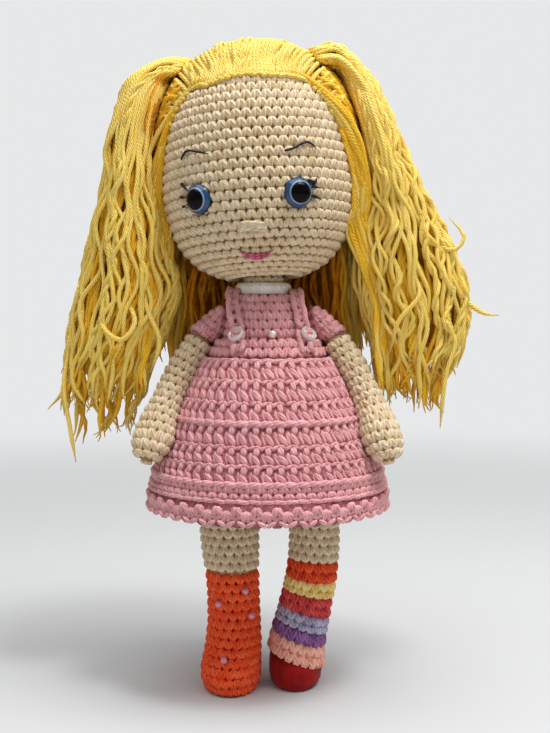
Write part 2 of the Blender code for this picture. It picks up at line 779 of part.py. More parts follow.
def make_button(side, at, out, strap):
    """A button flat on its strap, sewn through two holes."""
    frame = empty("button_frame_" + side, at, DOLL, out.to_track_quat("Z", "Y").to_euler())
    seat = rod(
        "button_seat_" + side,
        BUTTON_RADIUS + GAP,
        (0, 0, -GAP),
        (0, 0, OVERRUN),
        frame,
    )
    cut(strap, seat)
    rim = BUTTON_THICKNESS + BUTTON_RIM
    dish, rise, crown = [BUTTON_RADIUS * share for share in BUTTON_RIM_SHARES]
    profile = [
        (0, BUTTON_THICKNESS),
        (dish, BUTTON_THICKNESS),
        (rise, rim),
        (crown, rim),
        (BUTTON_RADIUS, BUTTON_THICKNESS * BUTTON_EDGE_SHARE),
        (BUTTON_RADIUS * BUTTON_EDGE_SHARE, 0),
        (0, 0),
    ]
    button = turned("button_" + side, profile, BUTTON, frame)
    spread_x = BUTTON_HOLE_SPREAD
    for k, across in enumerate((-spread_x, spread_x)):
        hole = rod(
            f"button_hole_{side}_{k}",
            BUTTON_HOLE_RADIUS,
            (across, 0, -OVERRUN),
            (across, 0, OVERRUN),
            frame,
            HOLE_SIDES,
        )
        cut(button, hole)
    top = BUTTON_THICKNESS + THREAD_RADIUS + GAP
    bend, flat = top * BUTTON_LOOP_SHARES[0], spread_x * BUTTON_LOOP_SHARES[1]
    loop = [
        (-spread_x, 0, 0),
        (-spread_x, 0, bend),
        (-flat, 0, top),
        (flat, 0, top),
        (spread_x, 0, bend),
        (spread_x, 0, 0),
    ]
    thread("button_thread_" + side, loop, THREAD_RADIUS, PINK, frame)


# Legs


def leg_ring(side, height, grow=0, sides=LEG_SIDES):
    """A ring round a leg at a height; above the hip it follows the ball."""
    sign = SIGNS[side]
    hip = Vector((sign * HIP_SPREAD, 0, height))
    if height > HIP_HEIGHT:
        radius = math.sqrt(max((HIP_BALL_RADIUS + grow) ** 2 - (height - HIP_HEIGHT) ** 2, 0))
        radius = max(radius, HIP_BALL_RADIUS * HIP_TOP_SHARE)
        return oval(hip, radius, radius, sides)
    aside, back, wide, deep, tilt = ease(LEG_TABLES[side], height / HIP_HEIGHT)
    centre = Vector((sign * aside * HIP_SPREAD, back * LEG_RADIUS, height))
    turn = Matrix.Rotation(math.radians(tilt), 3, "Y")
    return oval(centre, wide * LEG_RADIUS + grow, deep * LEG_RADIUS + grow, sides, turn)


def leg_frame_points(side, rings):
    """Rings moved from the floor's frame into the hip's."""
    hip = Vector((SIGNS[side] * HIP_SPREAD, 0, HIP_HEIGHT))
    return [[point - hip for point in ring] for ring in rings]


def leg_levels(side, low, high, steps):
    """Heights between two shares of the hip's height, closer together round the foot."""
    levels = [HIP_HEIGHT * share for share in spread(low, high, steps)]
    if low == 0:
        shares = [row[0] for row in LEG_TABLES[side][:4]]
        kept = [HIP_HEIGHT * share for share in shares]
        levels = kept + [level for level in levels if level > kept[-1] + WALL]
    return levels


def leg_piece(side, name, low, high, steps, material, cavity, ball_top=False):
    levels = leg_levels(side, low, high, steps)
    if low > 0:
        levels[0] += GAP
    if ball_top:
        for angle in spread(0, math.pi / 2, DOME_STEPS)[1:]:
            levels.append(HIP_HEIGHT + HIP_BALL_RADIUS * math.sin(angle))
    rings = [leg_ring(side, level) for level in levels]
    piece = loft(name, leg_frame_points(side, rings), material, HIPS[side])
    cut(piece, cavity)


def make_leg(side):
    core_top = HIP_HEIGHT + HIP_BALL_RADIUS * LEG_CORE_TOP_SHARE
    made = {}
    for name, grow, trim in (("stuffing", -CORE_INSET, 0), ("cavity", -WALL, GAP)):
        levels = spread(CORE_INSET - trim, core_top + trim, LEG_CORE_STEPS)
        rings = [leg_ring(side, level, grow, LEG_CORE_SIDES) for level in levels]
        made[name] = loft(
            f"leg_{name}_{side}",
            leg_frame_points(side, rings),
            STUFFING if name == "stuffing" else None,
            HIPS[side],
            cutter=name == "cavity",
        )
    cavity = made["cavity"]
    if side == "left":
        leg_piece(side, "sock_left", 0, LEFT_SOCK_SHARE, LEG_STEPS, ORANGE, cavity)
        leg_piece(side, "leg_left", LEFT_SOCK_SHARE, 1, LEG_STEPS, SKIN, cavity, True)
        for k, (share, angle) in enumerate(SOCK_BEAD_SHARES):
            make_sock_bead(k + 1, share, math.radians(angle))
        return
    low = 0
    for yarn, high in STRIPE_SHARES:
        steps = LEG_STEPS if low == 0 else 1
        leg_piece(side, "sock_right_" + yarn, low, high, steps, STRIPES[yarn], cavity)
        low = high
    leg_piece(side, "leg_right", low, 1, LEG_STEPS, SKIN, cavity, True)


def make_sock_bead(number, share, angle):
    """A small bead sewn on the front of the left sock."""
    aside, back, wide, deep, _ = ease(LEG_TABLES["left"], share)
    reach_x = wide * LEG_RADIUS + SOCK_BEAD_RADIUS + GAP
    reach_y = deep * LEG_RADIUS + SOCK_BEAD_RADIUS + GAP
    hip_x = -HIP_SPREAD
    spot = (
        -aside * HIP_SPREAD - reach_x * math.sin(angle) - hip_x,
        back * LEG_RADIUS - reach_y * math.cos(angle),
        share * HIP_HEIGHT - HIP_HEIGHT,
    )
    radii = [SOCK_BEAD_RADIUS] * 3
    ball(f"sock_bead_{number}", radii, spot, BEAD, HIPS["left"], sides=BEAD_SIDES)


# Arms


def arm_spot(side, drop):
    """Middle and radius of an arm at a share of its drop."""
    turn, out, size, slant = ease(ARM_SHARES, drop)
    radius = size * HAND_RADIUS
    height = SHOULDER_HEIGHT - drop * ARM_DROP
    level = min(height, BAND_TOP)
    wide, deep = dress_half(level)
    angle = math.radians(turn)
    dress = 1 / math.hypot(math.cos(angle) / wide, math.sin(angle) / deep)
    reach = SHOULDER_X + GAP + out * (dress + radius * slant + GAP * 2 - SHOULDER_X)
    sign = SIGNS[side]
    return Vector((sign * reach * math.cos(angle), -reach * math.sin(angle), height)), radius


def arm_ring(side, drop, grow=0, sides=ARM_SIDES):
    centre, radius = arm_spot(side, drop)
    sign = SIGNS[side]
    if drop == 0:
        along = Vector((sign, 0, 0))
    else:
        low = min(drop + ARM_STEP_SHARE, 1)
        high = drop - ARM_STEP_SHARE
        along = (arm_spot(side, low)[0] - arm_spot(side, high)[0]).normalized()
    up = Vector((0, 1, 0))
    across = along.cross(up).normalized()
    up = across.cross(along)
    turn = Matrix((across, up, along)).transposed()
    size = max(radius + grow, HAND_RADIUS * ARM_TIP_SHARE)
    shoulder = Vector((sign * SHOULDER_X, 0, SHOULDER_HEIGHT))
    return oval(centre - shoulder, size, size, sides, turn)


def make_arm(side):
    drops = [row[0] for row in ARM_SHARES]
    inner = [drop for drop in drops if drop < ARM_CORE_SHARE] + [ARM_CORE_SHARE]
    core = [arm_ring(side, drop, -CORE_INSET, ARM_CORE_SIDES) for drop in inner]
    loft("arm_stuffing_" + side, core, STUFFING, SHOULDERS[side])
    wall = [arm_ring(side, drop, -WALL, ARM_CORE_SIDES) for drop in inner]
    sign = SIGNS[side]
    mouth = [point - Vector((sign * WALL, 0, 0)) for point in wall[0]]
    along = (sum(wall[-1], Vector()) - sum(wall[-2], Vector())).normalized()
    end = [point + along * GAP for point in wall[-1]]
    wall = [mouth, *wall, end]
    cavity = loft("arm_cavity_" + side, wall, None, SHOULDERS[side], cutter=True)
    margin = GAP / ARM_DROP
    upper = [drop for drop in drops if drop < SLEEVE_SHARE - margin] + [SLEEVE_SHARE]
    lower = [SLEEVE_SHARE + margin] + [drop for drop in drops if drop > SLEEVE_SHARE + margin]
    sleeve = loft(
        "sleeve_" + side, [arm_ring(side, drop) for drop in upper], PINK, SHOULDERS[side]
    )
    arm = loft("arm_" + side, [arm_ring(side, drop) for drop in lower], SKIN, SHOULDERS[side])
    cut(sleeve, cavity)
    cut(arm, cavity)


# Head and face, in the head's own leaning frame


def head_width(height, grow=0):
    share = (height + HEAD_SINK + grow) / (HEAD_HEIGHT + 2 * grow)
    stops = [row[0] for row in HEAD_SHARES]
    values = [row[1] for row in HEAD_SHARES]
    return float(np.interp(share, stops, values)) * HEAD_RADIUS + grow


def head_rings(grow, low=0.0):
    rings = []
    for share in [low] + [row[0] for row in HEAD_SHARES if row[0] > low]:
        height = share * (HEAD_HEIGHT + 2 * grow) - HEAD_SINK - grow
        wide = max(head_width(height, grow), HEAD_RADIUS * HEAD_TIP_SHARE)
        rings.append(oval((0, 0, height), wide, wide * HEAD_DEPTH_SHARE, HEAD_SIDES))
    return rings


def face(across, height, grow=0):
    """A point on the face, straight out from a place across and up."""
    wide = head_width(height, grow)
    deep = wide * HEAD_DEPTH_SHARE * math.sqrt(max(1 - (across / wide) ** 2, 0))
    return Vector((across, -deep, height))


def face_normal(across, height):
    step = EYE_RADIUS / 2
    side = face(across + step, height) - face(across - step, height)
    rise = face(across, height + step) - face(across, height - step)
    return side.cross(rise).normalized()


def make_head():
    head = loft("head", head_rings(0), SKIN, HEAD_FRAME)
    cavity = loft("head_cavity", head_rings(-WALL), None, HEAD_FRAME, cutter=True)
    hole = rod("neck_hole", NECK_HOLE_RADIUS, (0, 0, -HEAD_SINK - OVERRUN), (0, 0, 0), HEAD_FRAME)
    cut(head, cavity, hole)
    stuffing = loft("head_stuffing", head_rings(-CORE_INSET), STUFFING, HEAD_FRAME)
    socket = ball(
        "neck_socket", [NECK_BALL_RADIUS + GAP] * 3, (0, 0, 0), None, HEAD_FRAME, True, HEAD_SIDES
    )
    cut(stuffing, socket)
    room = loft("face_room", head_rings(GAP), None, HEAD_FRAME, cutter=True)
    for side in SIGNS:
        make_eye(side, head, stuffing)
        make_brow_and_lashes(side)
    nose = ball("nose", NOSE_HALF, face(0, NOSE_RISE), SKIN, HEAD_FRAME, sides=BEAD_SIDES)
    cut(nose, room)
    make_mouth(room)
    return room


def make_eye(side, head, stuffing):
    """A plastic eye, its shank through the fabric, and the washer pressed on behind."""
    sign = SIGNS[side]
    at = face(sign * EYE_X, EYE_RISE)
    out = face_normal(sign * EYE_X, EYE_RISE)
    turn = out.to_track_quat("Z", "Y").to_euler()
    frame = empty("eye_frame_" + side, at + out * GAP, HEAD_FRAME, turn)
    dome = []
    for angle in spread(math.pi / 2, 0, DOME_STEPS):
        height = EYE_FLANGE + (EYE_HEIGHT - EYE_FLANGE) * math.sin(angle)
        dome.append((EYE_RADIUS * math.cos(angle), height))
    dome[0] = (0, EYE_HEIGHT)
    profile = dome + [(EYE_RADIUS, 0), (SHANK_RADIUS, 0)]
    profile += [(SHANK_RADIUS, -SHANK_LENGTH), (0, -SHANK_LENGTH)]
    turned("eye_" + side, profile, EYE, frame)
    seat = -(WALL + WASHER_SEAT)
    inner = SHANK_RADIUS + GAP
    turned(
        "eye_washer_" + side,
        [
            (inner, seat),
            (WASHER_RADIUS, seat),
            (WASHER_RADIUS, seat - WASHER_THICKNESS),
            (inner, seat - WASHER_THICKNESS),
            (inner, seat),
        ],
        WASHER,
        frame,
    )
    hole = rod(
        "eye_hole_" + side, inner, (0, 0, OVERRUN), (0, 0, -SHANK_LENGTH - GAP), frame
    )
    pocket = rod(
        "washer_pocket_" + side,
        WASHER_RADIUS + GAP,
        (0, 0, OVERRUN),
        (0, 0, seat - WASHER_THICKNESS - GAP),
        frame,
    )
    cut(head, hole)
    cut(stuffing, hole, pocket)


def make_brow_and_lashes(side):
    sign = SIGNS[side]
    lift = THREAD_RADIUS + GAP
    brow = [
        face(sign * EYE_X * across, EYE_RISE * rise, lift) for across, rise in BROW_SHARES[side]
    ]
    thread("brow_" + side, brow, THREAD_RADIUS, BLACK, HEAD_FRAME)
    lash = [
        face(sign * (EYE_X + EYE_RADIUS * across), EYE_RISE + EYE_RADIUS * rise, lift)
        for across, rise in LASH_SHARES
    ]
    thread("lashes_" + side, lash, THREAD_RADIUS, BLACK, HEAD_FRAME)


def make_mouth(room):
    """Lips that turn up at the corners."""
    half_x, half_y, half_z = MOUTH_HALF
    rings = []
    for share in MOUTH_SHARES:
        across = share * half_x
        centre = face(across, MOUTH_RISE + MOUTH_CURVE * share**2)
        size = math.sqrt(1 - share**2)
        turn = Matrix.Rotation(math.radians(90), 3, "Y")
        deep = half_y * (MOUTH_DEPTH_SHARE + (1 - MOUTH_DEPTH_SHARE) * size)
        rings.append(oval(centre, half_z * size, deep, BEAD_SIDES, turn))
    mouth = loft("mouth", rings, ROSE, HEAD_FRAME)
    cut(mouth, room)


# Hair


def make_hair(room):
    layer = GAP + HAIR_LAYER
    cap = loft("hair_cap", head_rings(layer, HAIR_FLOOR_SHARE), HAIR, HEAD_FRAME)
    size = HEAD_HEIGHT * 2
    shape = bmesh.new()
    bmesh.ops.create_cube(shape, size=size)
    turn = Matrix.Rotation(HAIRLINE_LEAN, 4, "X")
    at = Vector((0, -HAIRLINE_REACH, HAIRLINE_RISE)) + turn.to_3x3() @ Vector((0, -size / 2, 0))
    bmesh.ops.transform(shape, matrix=Matrix.Translation(at) @ turn, verts=shape.verts)
    opening = place("face_opening", close(shape, "face_opening"), None, HEAD_FRAME, True)
    cut(cap, room, opening)
    seat = loft("hair_seat", head_rings(layer + GAP), None, HEAD_FRAME, cutter=True)
    for side, sign in SIGNS.items():
        rings = []
        for drop, outer, inner, front, back in HAIR_TABLES[side]:
            centre = (
                sign * HAIR_REACH * (outer + inner) / 2 - NECK_SHIFT,
                HAIR_REACH * (front + back) / 2,
                HAIR_TOP - drop * HAIR_LENGTH,
            )
            half_x = HAIR_REACH * (outer - inner) / 2
            half_y = HAIR_REACH * (back - front) / 2
            rings.append(oval(centre, half_x, half_y, HAIR_SIDES))
        curtain = loft("hair_" + side, rings, HAIR, NECK_FRAME)
        cut(curtain, seat)
    make_back_hair()


def make_back_hair():
    """Locks side by side round the doll's back, from the cap's edge down, clear of the dress."""
    lean = Euler(HEAD_LEAN).to_matrix() @ Vector((0, 0, 1))
    layer = GAP + HAIR_LAYER
    floor = HAIR_FLOOR_SHARE * (HEAD_HEIGHT + 2 * layer) - HEAD_SINK - layer
    pitch = 2 * BACK_HAIR_SPAN / len(BACK_LOCK_SHARES)
    for k, reach in enumerate(BACK_LOCK_SHARES):
        middle = math.pi / 2 - BACK_HAIR_SPAN + pitch * (k + 1 / 2)
        rings = []
        for drop, near, thick in BACK_HAIR_SHARES:
            low = -BACK_HAIR_LENGTH * reach * drop
            level = min(NECK_PIVOT.z + low, WAIST_HEIGHT)
            inner = max(HEAD_RADIUS * near, dress_half(level)[0] + BACK_HAIR_STANDOFF)
            outer = inner + BACK_HAIR_THICKNESS * thick
            half = pitch / 2 - GAP / inner
            arc = spread(middle - half, middle + half, BACK_HAIR_STEPS)
            ring = [(outer, angle) for angle in arc] + [(inner, angle) for angle in arc[::-1]]
            points = []
            for radius, angle in ring:
                x, y = radius * math.cos(angle), radius * math.sin(angle)
                top = (floor - GAP * 2 - lean.x * x - lean.y * y) / lean.z
                points.append((x - NECK_SHIFT * drop, y, top * (1 - drop) + low))
            rings.append(points)
        loft(f"hair_back_{k + 1}", rings, HAIR, NECK_FRAME)


make_torso()
make_dress(make_neck())
for side in SIGNS:
    make_leg(side)
    make_arm(side)
face_room = make_head()
make_hair(face_room)
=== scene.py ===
"""A crocheted doll with long yarn hair, a pink dress and two odd socks.

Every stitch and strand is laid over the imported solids. Lengths are metres.
"""

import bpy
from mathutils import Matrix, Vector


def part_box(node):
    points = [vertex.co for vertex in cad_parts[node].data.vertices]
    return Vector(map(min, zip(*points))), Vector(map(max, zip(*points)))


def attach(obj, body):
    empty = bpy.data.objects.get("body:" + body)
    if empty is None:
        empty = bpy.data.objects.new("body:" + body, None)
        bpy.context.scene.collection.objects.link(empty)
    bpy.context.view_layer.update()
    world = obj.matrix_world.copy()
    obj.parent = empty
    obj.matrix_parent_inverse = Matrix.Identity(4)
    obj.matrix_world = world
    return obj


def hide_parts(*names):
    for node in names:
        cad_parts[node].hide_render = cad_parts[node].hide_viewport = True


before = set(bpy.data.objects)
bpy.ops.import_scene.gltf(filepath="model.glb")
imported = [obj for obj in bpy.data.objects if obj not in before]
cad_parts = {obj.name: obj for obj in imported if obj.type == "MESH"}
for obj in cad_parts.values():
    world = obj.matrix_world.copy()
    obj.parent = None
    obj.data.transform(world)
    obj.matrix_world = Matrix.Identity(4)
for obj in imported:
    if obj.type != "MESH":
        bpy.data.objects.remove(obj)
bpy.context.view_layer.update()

import math
import random

import bmesh
import bpy
import numpy as np
from mathutils import Euler, Matrix, Vector
from mathutils.bvhtree import BVHTree

UP = Vector((0, 0, 1))
ACROSS = Vector((1, 0, 0))
FRONT = Vector((0, -1, 0))
BEHIND = Vector((0, 1, 0))
SIDES = (("left", -1), ("right", 1))
DICE = random.Random(11)


def thing(name, data):
    """An object of the scene that holds a mesh, a lamp or the camera."""
    made = bpy.data.objects.new(name, data)
    bpy.context.scene.collection.objects.link(made)
    return made


# The photograph is 550 x 733 pixels, taken from the height of the doll's shoulders
PHOTO_WIDTH = 550
PHOTO_HEIGHT = 733
FOCAL_PIXELS = 1056.5
VIEWPOINT = Vector((0.0031, -0.4632, 0.1632))
LOOK = Euler((math.pi / 2 - math.radians(2.86), 0, 0)).to_matrix()

view = bpy.data.cameras.new("photo_view")
view.sensor_width = 36
view.lens = view.sensor_width * FOCAL_PIXELS / PHOTO_HEIGHT
camera = thing("photo_view", view)
camera.location = VIEWPOINT
camera.rotation_euler = LOOK.to_euler()
bpy.context.scene.camera = camera

# Yarn and stitches, measured on the doll
STITCH = 0.0041
ROW = 0.0041
HAIR_YARN = 0.0021
PLY_PITCH = 0.0014
STRAND_STEP = 0.0026
WAVE_LENGTHS = (0.018, 0.036)
# the first and last cut across a solid lie this far inside it
CUT = 0.0006

# The head leans on the neck's ball
NECK_PIVOT = Vector((-0.002, 0, 0.183))
HEAD_LEAN = Euler((math.radians(-3.0), math.radians(-3.4), math.radians(-5.0))).to_matrix()
HEAD_MIDDLE = NECK_PIVOT + HEAD_LEAN @ Vector((0, 0, 0.045))
HEAD_HEIGHT = 0.096
HEAD_SINK = 0.0045


# Materials


def linear(code):
    """An sRGB hex colour as linear light."""
    shares = [int(code[k : k + 2], 16) / 255 for k in (1, 3, 5)]
    return (*[s / 12.92 if s <= 0.04045 else ((s + 0.055) / 1.055) ** 2.4 for s in shares], 1)


def add(tree, kind, inputs=(), stops=(), **settings):
    """A node with its settings. An input is a value or another node's output, and
    stops are the hex colours of a ramp at shares of its length."""
    node = tree.nodes.new(kind)
    for name, value in settings.items():
        setattr(node, name, value)
    for name, value in dict(inputs).items():
        if isinstance(value, bpy.types.NodeSocket):
            tree.links.new(value, node.inputs[name])
        else:
            node.inputs[name].default_value = value
    for k, (share, code) in enumerate(stops):
        scale = node.color_ramp.elements
        element = scale[k] if k < len(scale) else scale.new(share)
        element.position = share
        element.color = linear(code)
    return node


def fresh(name):
    material = bpy.data.materials.new(name)
    material.use_nodes = True
    tree = material.node_tree
    return material, tree, tree.nodes["Principled BSDF"]


def surfaced(tree, shader, colour, height, strength, depth, sockets, **settings):
    """The shader with its colour and relief, and with values in its own sockets."""
    relief = add(
        tree, "ShaderNodeBump", {"Height": height, "Strength": strength, "Distance": depth}, **settings
    )
    tree.links.new(colour.outputs["Color"], shader.inputs["Base Color"])
    tree.links.new(relief.outputs["Normal"], shader.inputs["Normal"])
    for name, value in sockets.items():
        shader.inputs[name].default_value = value


def spun_yarn(
    name, deep, body, lit, plies=5, ply_depth=0.00012, sheen=0.25, rough=0.82, shine=0.3, glow=0.0,
    dye_share=0.5, ply_share=0.1,
):
    """Twisted yarn: the plies wind round the thread in relief, with painted shade in the grooves between
    them and a painted highlight on their crests; the surface is matt with a soft pale fuzz, and the dye
    varies a little."""
    material, tree, shader = fresh(name)
    where = add(tree, "ShaderNodeTexCoord")
    thread = add(tree, "ShaderNodeSeparateXYZ", {0: where.outputs["UV"]})
    turn = add(
        tree, "ShaderNodeMath", {0: thread.outputs[0], 1: plies, 2: thread.outputs[1]},
        operation="MULTIPLY_ADD",
    )
    angle = add(tree, "ShaderNodeMath", {0: turn.outputs[0], 1: math.tau}, operation="MULTIPLY")
    wave = add(tree, "ShaderNodeMath", {0: angle.outputs[0]}, operation="SINE")
    # fibres are far finer than a pixel, so the fuzz is drawn at 0.6 mm
    fuzz, dye = [
        add(
            tree, "ShaderNodeTexNoise",
            {"Vector": where.outputs["Object"], "Scale": scale, "Detail": 2, "Roughness": harsh},
        )
        for scale, harsh in ((1600, 0.6), (240, 0.5))
    ]
    height = add(
        tree, "ShaderNodeMath", {0: fuzz.outputs["Fac"], 1: 0.9, 2: wave.outputs[0]},
        operation="MULTIPLY_ADD",
    )
    even = add(
        tree, "ShaderNodeMath", {0: dye.outputs["Fac"], 1: dye_share, 2: 0.5 - dye_share / 2},
        operation="MULTIPLY_ADD",
    )
    shade = add(
        tree, "ShaderNodeMath", {0: wave.outputs[0], 1: ply_share, 2: even.outputs[0]},
        operation="MULTIPLY_ADD",
    )
    # the colour runs from deep to lit with the dye's random tone and with the ply wave, which paints shade
    # in the grooves and a highlight on the crests
    colour = add(
        tree, "ShaderNodeValToRGB", {"Fac": shade.outputs[0]}, ((0.34, deep), (0.5, body), (0.66, lit))
    )
    # light passes from fibre to fibre, which keeps the shade between strands warm
    surfaced(tree, shader, colour, height.outputs[0], 0.7, ply_depth, {
        "Roughness": rough, "IOR": 1.5, "Specular IOR Level": shine, "Subsurface Weight": glow,
        "Subsurface Scale": 0.002, "Subsurface Radius": (1.0, 0.6, 0.15), "Sheen Weight": sheen,
        "Sheen Roughness": 0.45,
    })
    return material


def packed_yarn(name, deep, body, grain=0.0015):
    """The inner side of the fabric, seen between stitches: the same yarn painted darker, as painted shade.
    The stuffing's fibre uses it too.
    """
    material, tree, shader = fresh(name)
    where = add(tree, "ShaderNodeTexCoord")
    loops = add(
        tree, "ShaderNodeTexVoronoi",
        {"Vector": where.outputs["Object"], "Scale": 1 / grain, "Randomness": 0.7},
    ).outputs["Distance"]
    colour = add(tree, "ShaderNodeValToRGB", {"Fac": loops}, ((0.1, body), (0.75, deep)))
    surfaced(tree, shader, colour, loops, 0.8, 0.0006, {"Roughness": 0.95}, invert=True)
    return material


def moulded(name, body, flow_tone, rough, gloss=()):
    """Moulded plastic: a smooth skin with a faint flow in its colour."""
    material, tree, shader = fresh(name)
    where = add(tree, "ShaderNodeTexCoord")
    swirl = add(
        tree, "ShaderNodeTexNoise", {"Vector": where.outputs["Object"], "Scale": 450, "Detail": 3}
    ).outputs["Fac"]
    colour = add(tree, "ShaderNodeValToRGB", {"Fac": swirl}, ((0.3, flow_tone), (0.7, body)))
    surfaced(tree, shader, colour, swirl, 0.1, 0.0002, {"Roughness": rough, **dict(gloss)})
    return material


# each fabric is its yarn and its inner side that shows between stitches, painted darker as shade
SKIN = [
    spun_yarn("cream_cotton_yarn", "#ccae84", "#e2cca6", "#f0dfc2"),
    packed_yarn("cream_cotton_inside", "#93704a", "#c2a67c"),
]
PINK = [
    spun_yarn("pink_cotton_yarn", "#ca888c", "#e09da0", "#eeb6b8"),
    packed_yarn("pink_cotton_inside", "#8c4a50", "#bd767c"),
]
WHITE = [
    spun_yarn("white_cotton_yarn", "#d8cdc0", "#eae2d8", "#f7f2ec"),
    packed_yarn("white_cotton_inside", "#9c8d7c", "#c2b6a8"),
]
ORANGE = [
    spun_yarn("orange_cotton_yarn", "#e03a0c", "#fc541c", "#ff7440", sheen=0.1),
    packed_yarn("orange_cotton_inside", "#8c1804", "#c0300e"),
]
# the hair's acrylic is glossier than cotton, and paler where the light grazes a ply
ACRYLIC = dict(plies=6, ply_depth=0.00016, sheen=0.0, ply_share=0.12)
HAIR = [
    spun_yarn(
        "yellow_acrylic_yarn", "#f8c220", "#ffdc54", "#ffeaa4", rough=0.5, shine=0.4, glow=0.05,
        dye_share=0.1, **ACRYLIC,
    ),
    # the body under the strands: the yarn painted darker, as painted shade
    packed_yarn("yellow_acrylic_inside", "#d88600", "#f8b008", grain=0.002),
    # the same yarn, deeper and more orange: painted deep shade for strands under the chin
    spun_yarn(
        "amber_acrylic_yarn", "#d87000", "#f39a06", "#fbbb2c", rough=0.7, shine=0.2, glow=0.1,
        **{**ACRYLIC, "ply_share": 0.1},
    ),
    # the same yarn, golden: painted shade for strands among and under the others
    spun_yarn(
        "golden_acrylic_yarn", "#eca400", "#ffc61c", "#ffd650", rough=0.6, shine=0.3, glow=0.05,
        dye_share=0.15, **ACRYLIC,
    ),
]
# slots of the hair: the yarn, and the yarn in painted deep shade and in painted shade
YELLOW, HAIR_IN_DEEP_PAINTED_SHADE, HAIR_IN_PAINTED_SHADE = 0, 2, 3


# Shapes


def merged(*names):
    """One bmesh of CAD nodes, their loose triangles joined."""
    shape = bmesh.new()
    for name in names:
        shape.from_mesh(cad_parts[name].data)
    bmesh.ops.remove_doubles(shape, verts=shape.verts, dist=1e-6)
    return shape


def mesh_of(bm, name):
    """A mesh of the bmesh, which is let go."""
    mesh = bpy.data.meshes.new(name)
    bm.to_mesh(mesh)
    bm.free()
    return mesh


def take_in(bm, mesh):
    """Adds a mesh to the bmesh, and the mesh is let go."""
    bm.from_mesh(mesh)
    bpy.data.meshes.remove(mesh)


def started():
    bm = bmesh.new()
    bm.loops.layers.uv.new("UVMap")
    return bm


def finished(name, bm, paints, body, replaces=()):
    mesh = mesh_of(bm, name)
    for paint in paints:
        mesh.materials.append(paint)
    piece = thing(name, mesh)
    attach(piece, body)
    if replaces:
        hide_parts(*replaces)
    return piece


def lining(bm, names, pull, slot=1, level=False):
    """The fabric's body under its stitches: the solids drawn in a little, level
    ones only sideways."""
    shape = merged(*names)
    shape.normal_update()
    for vert in shape.verts:
        vert.co -= Vector((vert.normal.x, vert.normal.y, 0 if level else vert.normal.z)) * pull
    # the body takes the paint of a slot, mostly the yarn painted darker as shade
    for face in shape.faces:
        face.material_index = slot
        face.smooth = True
    take_in(bm, mesh_of(shape, "lining"))


def stamp(bm, mesh, matrix):
    """One more of a small mesh, set in place by a matrix."""
    copy = mesh.copy()
    copy.transform(matrix)
    take_in(bm, copy)


def drop(bm, length, width, thick, at=(0, 0, 0), lean=0, tilt=0, twists=2):
    """A plump stretch of yarn lying along y, leaned in the fabric and tilted out of it."""
    made = bmesh.ops.create_uvsphere(bm, u_segments=6, v_segments=5, radius=0.5, calc_uvs=True)["verts"]
    for vert in made:
        fuller = 1 + 0.9 * abs(vert.co.z) ** 1.5
        vert.co.x *= fuller
        vert.co.y *= fuller
    shape = (
        Matrix.Translation(at)
        @ Matrix.Rotation(math.radians(lean), 4, "Z")
        @ Matrix.Rotation(math.radians(tilt), 4, "X")
        @ Matrix.Rotation(-math.pi / 2, 4, "X")
        @ Matrix.Diagonal((width, thick, length, 1))
    )
    bmesh.ops.transform(bm, matrix=shape, verts=made)
    layer = bm.loops.layers.uv.verify()
    for face in {face for vert in made for face in vert.link_faces}:
        face.smooth = True
        for loop in face.loops:
            loop[layer].uv.y *= twists


def mirrored(length, width, thick, at, lean, tilt=0):
    """Two stretches of yarn, one each side of the stitch's middle."""
    x, y, z = at
    return [(length, width, thick, (way * x, y, z), way * lean, tilt) for way in (-1, 1)]


def template(name, *drops):
    """A stitch of stretches of yarn: length, width, thickness, place, lean, tilt and twists."""
    bm = started()
    for measures in drops:
        drop(bm, *measures)
    return mesh_of(bm, name)


# Single crochet seen from below its peak: two legs that part downwards
SINGLE = template("single_crochet", *mirrored(0.0051, 0.0028, 0.0030, (0.00104, 0, 0), 21, 25))
# The same stitch in work that grew upwards, its peak below
RISING = template("single_crochet_rising", *mirrored(0.0048, 0.0027, 0.0029, (0.00102, 0, 0), -23, -24))
# The last round of a hand is drawn together over its tip
CLOSING = template(
    "drawn_closing", *[(0.0058, 0.0022, 0.0020, (0, 0, 0.0002), turn) for turn in (0, 60, 120)]
)
# Double crochet: a loop above, a slanting strand below and its partner behind
DOUBLE = template(
    "double_crochet",
    (0.0050, 0.0029, 0.0030, (0.0006, 0.0024, 0.0002), -6, -10),
    (0.0062, 0.0027, 0.0028, (0.0008, -0.0018, 0.0001), 30, 8),
    (0.0070, 0.0024, 0.0024, (-0.0012, -0.0012, -0.0006), 10),
    (0.0034, 0.0019, 0.0022, (-0.0013, 0.0042, 0.0001), -62),
    (0.0034, 0.0019, 0.0022, (0.0012, 0.0044, 0.0003), 62),
)
# The knot that ties a strand of hair into the head
KNOT = template("hair_knot", (0.0030, 0.0021, 0.0022, (0, 0, 0.0006), 80))
# A surface chain lies flat along the row
CHAIN = template("surface_chain", (0.0066, 0.0028, 0.0026, (0, 0, 0), 84, 0, 3))


def fanned(turn):
    """A strand of a shell, out from its foot."""
    out = math.radians(turn)
    return 0.0062, 0.0023, 0.0025, (math.sin(out) * 0.0026, 0.0012 - math.cos(out) * 0.0022, 0), turn, 6


# A shell of the hem: strands fan out under two rim loops
SHELL = template(
    "hem_shell",
    *[fanned(turn) for turn in (-58, -22, 16, 52)],
    *mirrored(0.0044, 0.0019, 0.0022, (0.0019, -0.0031, 0.0008), -58),
)


def section(shape, point, normal):
    """The corners of a cut across a solid."""
    cut = shape.copy()
    parts = cut.verts[:] + cut.edges[:] + cut.faces[:]
    found = bmesh.ops.bisect_plane(cut, geom=parts, plane_co=point, plane_no=normal)["geom_cut"]
    spots = [part.co.copy() for part in found if isinstance(part, bmesh.types.BMVert)]
    cut.free()
    return spots


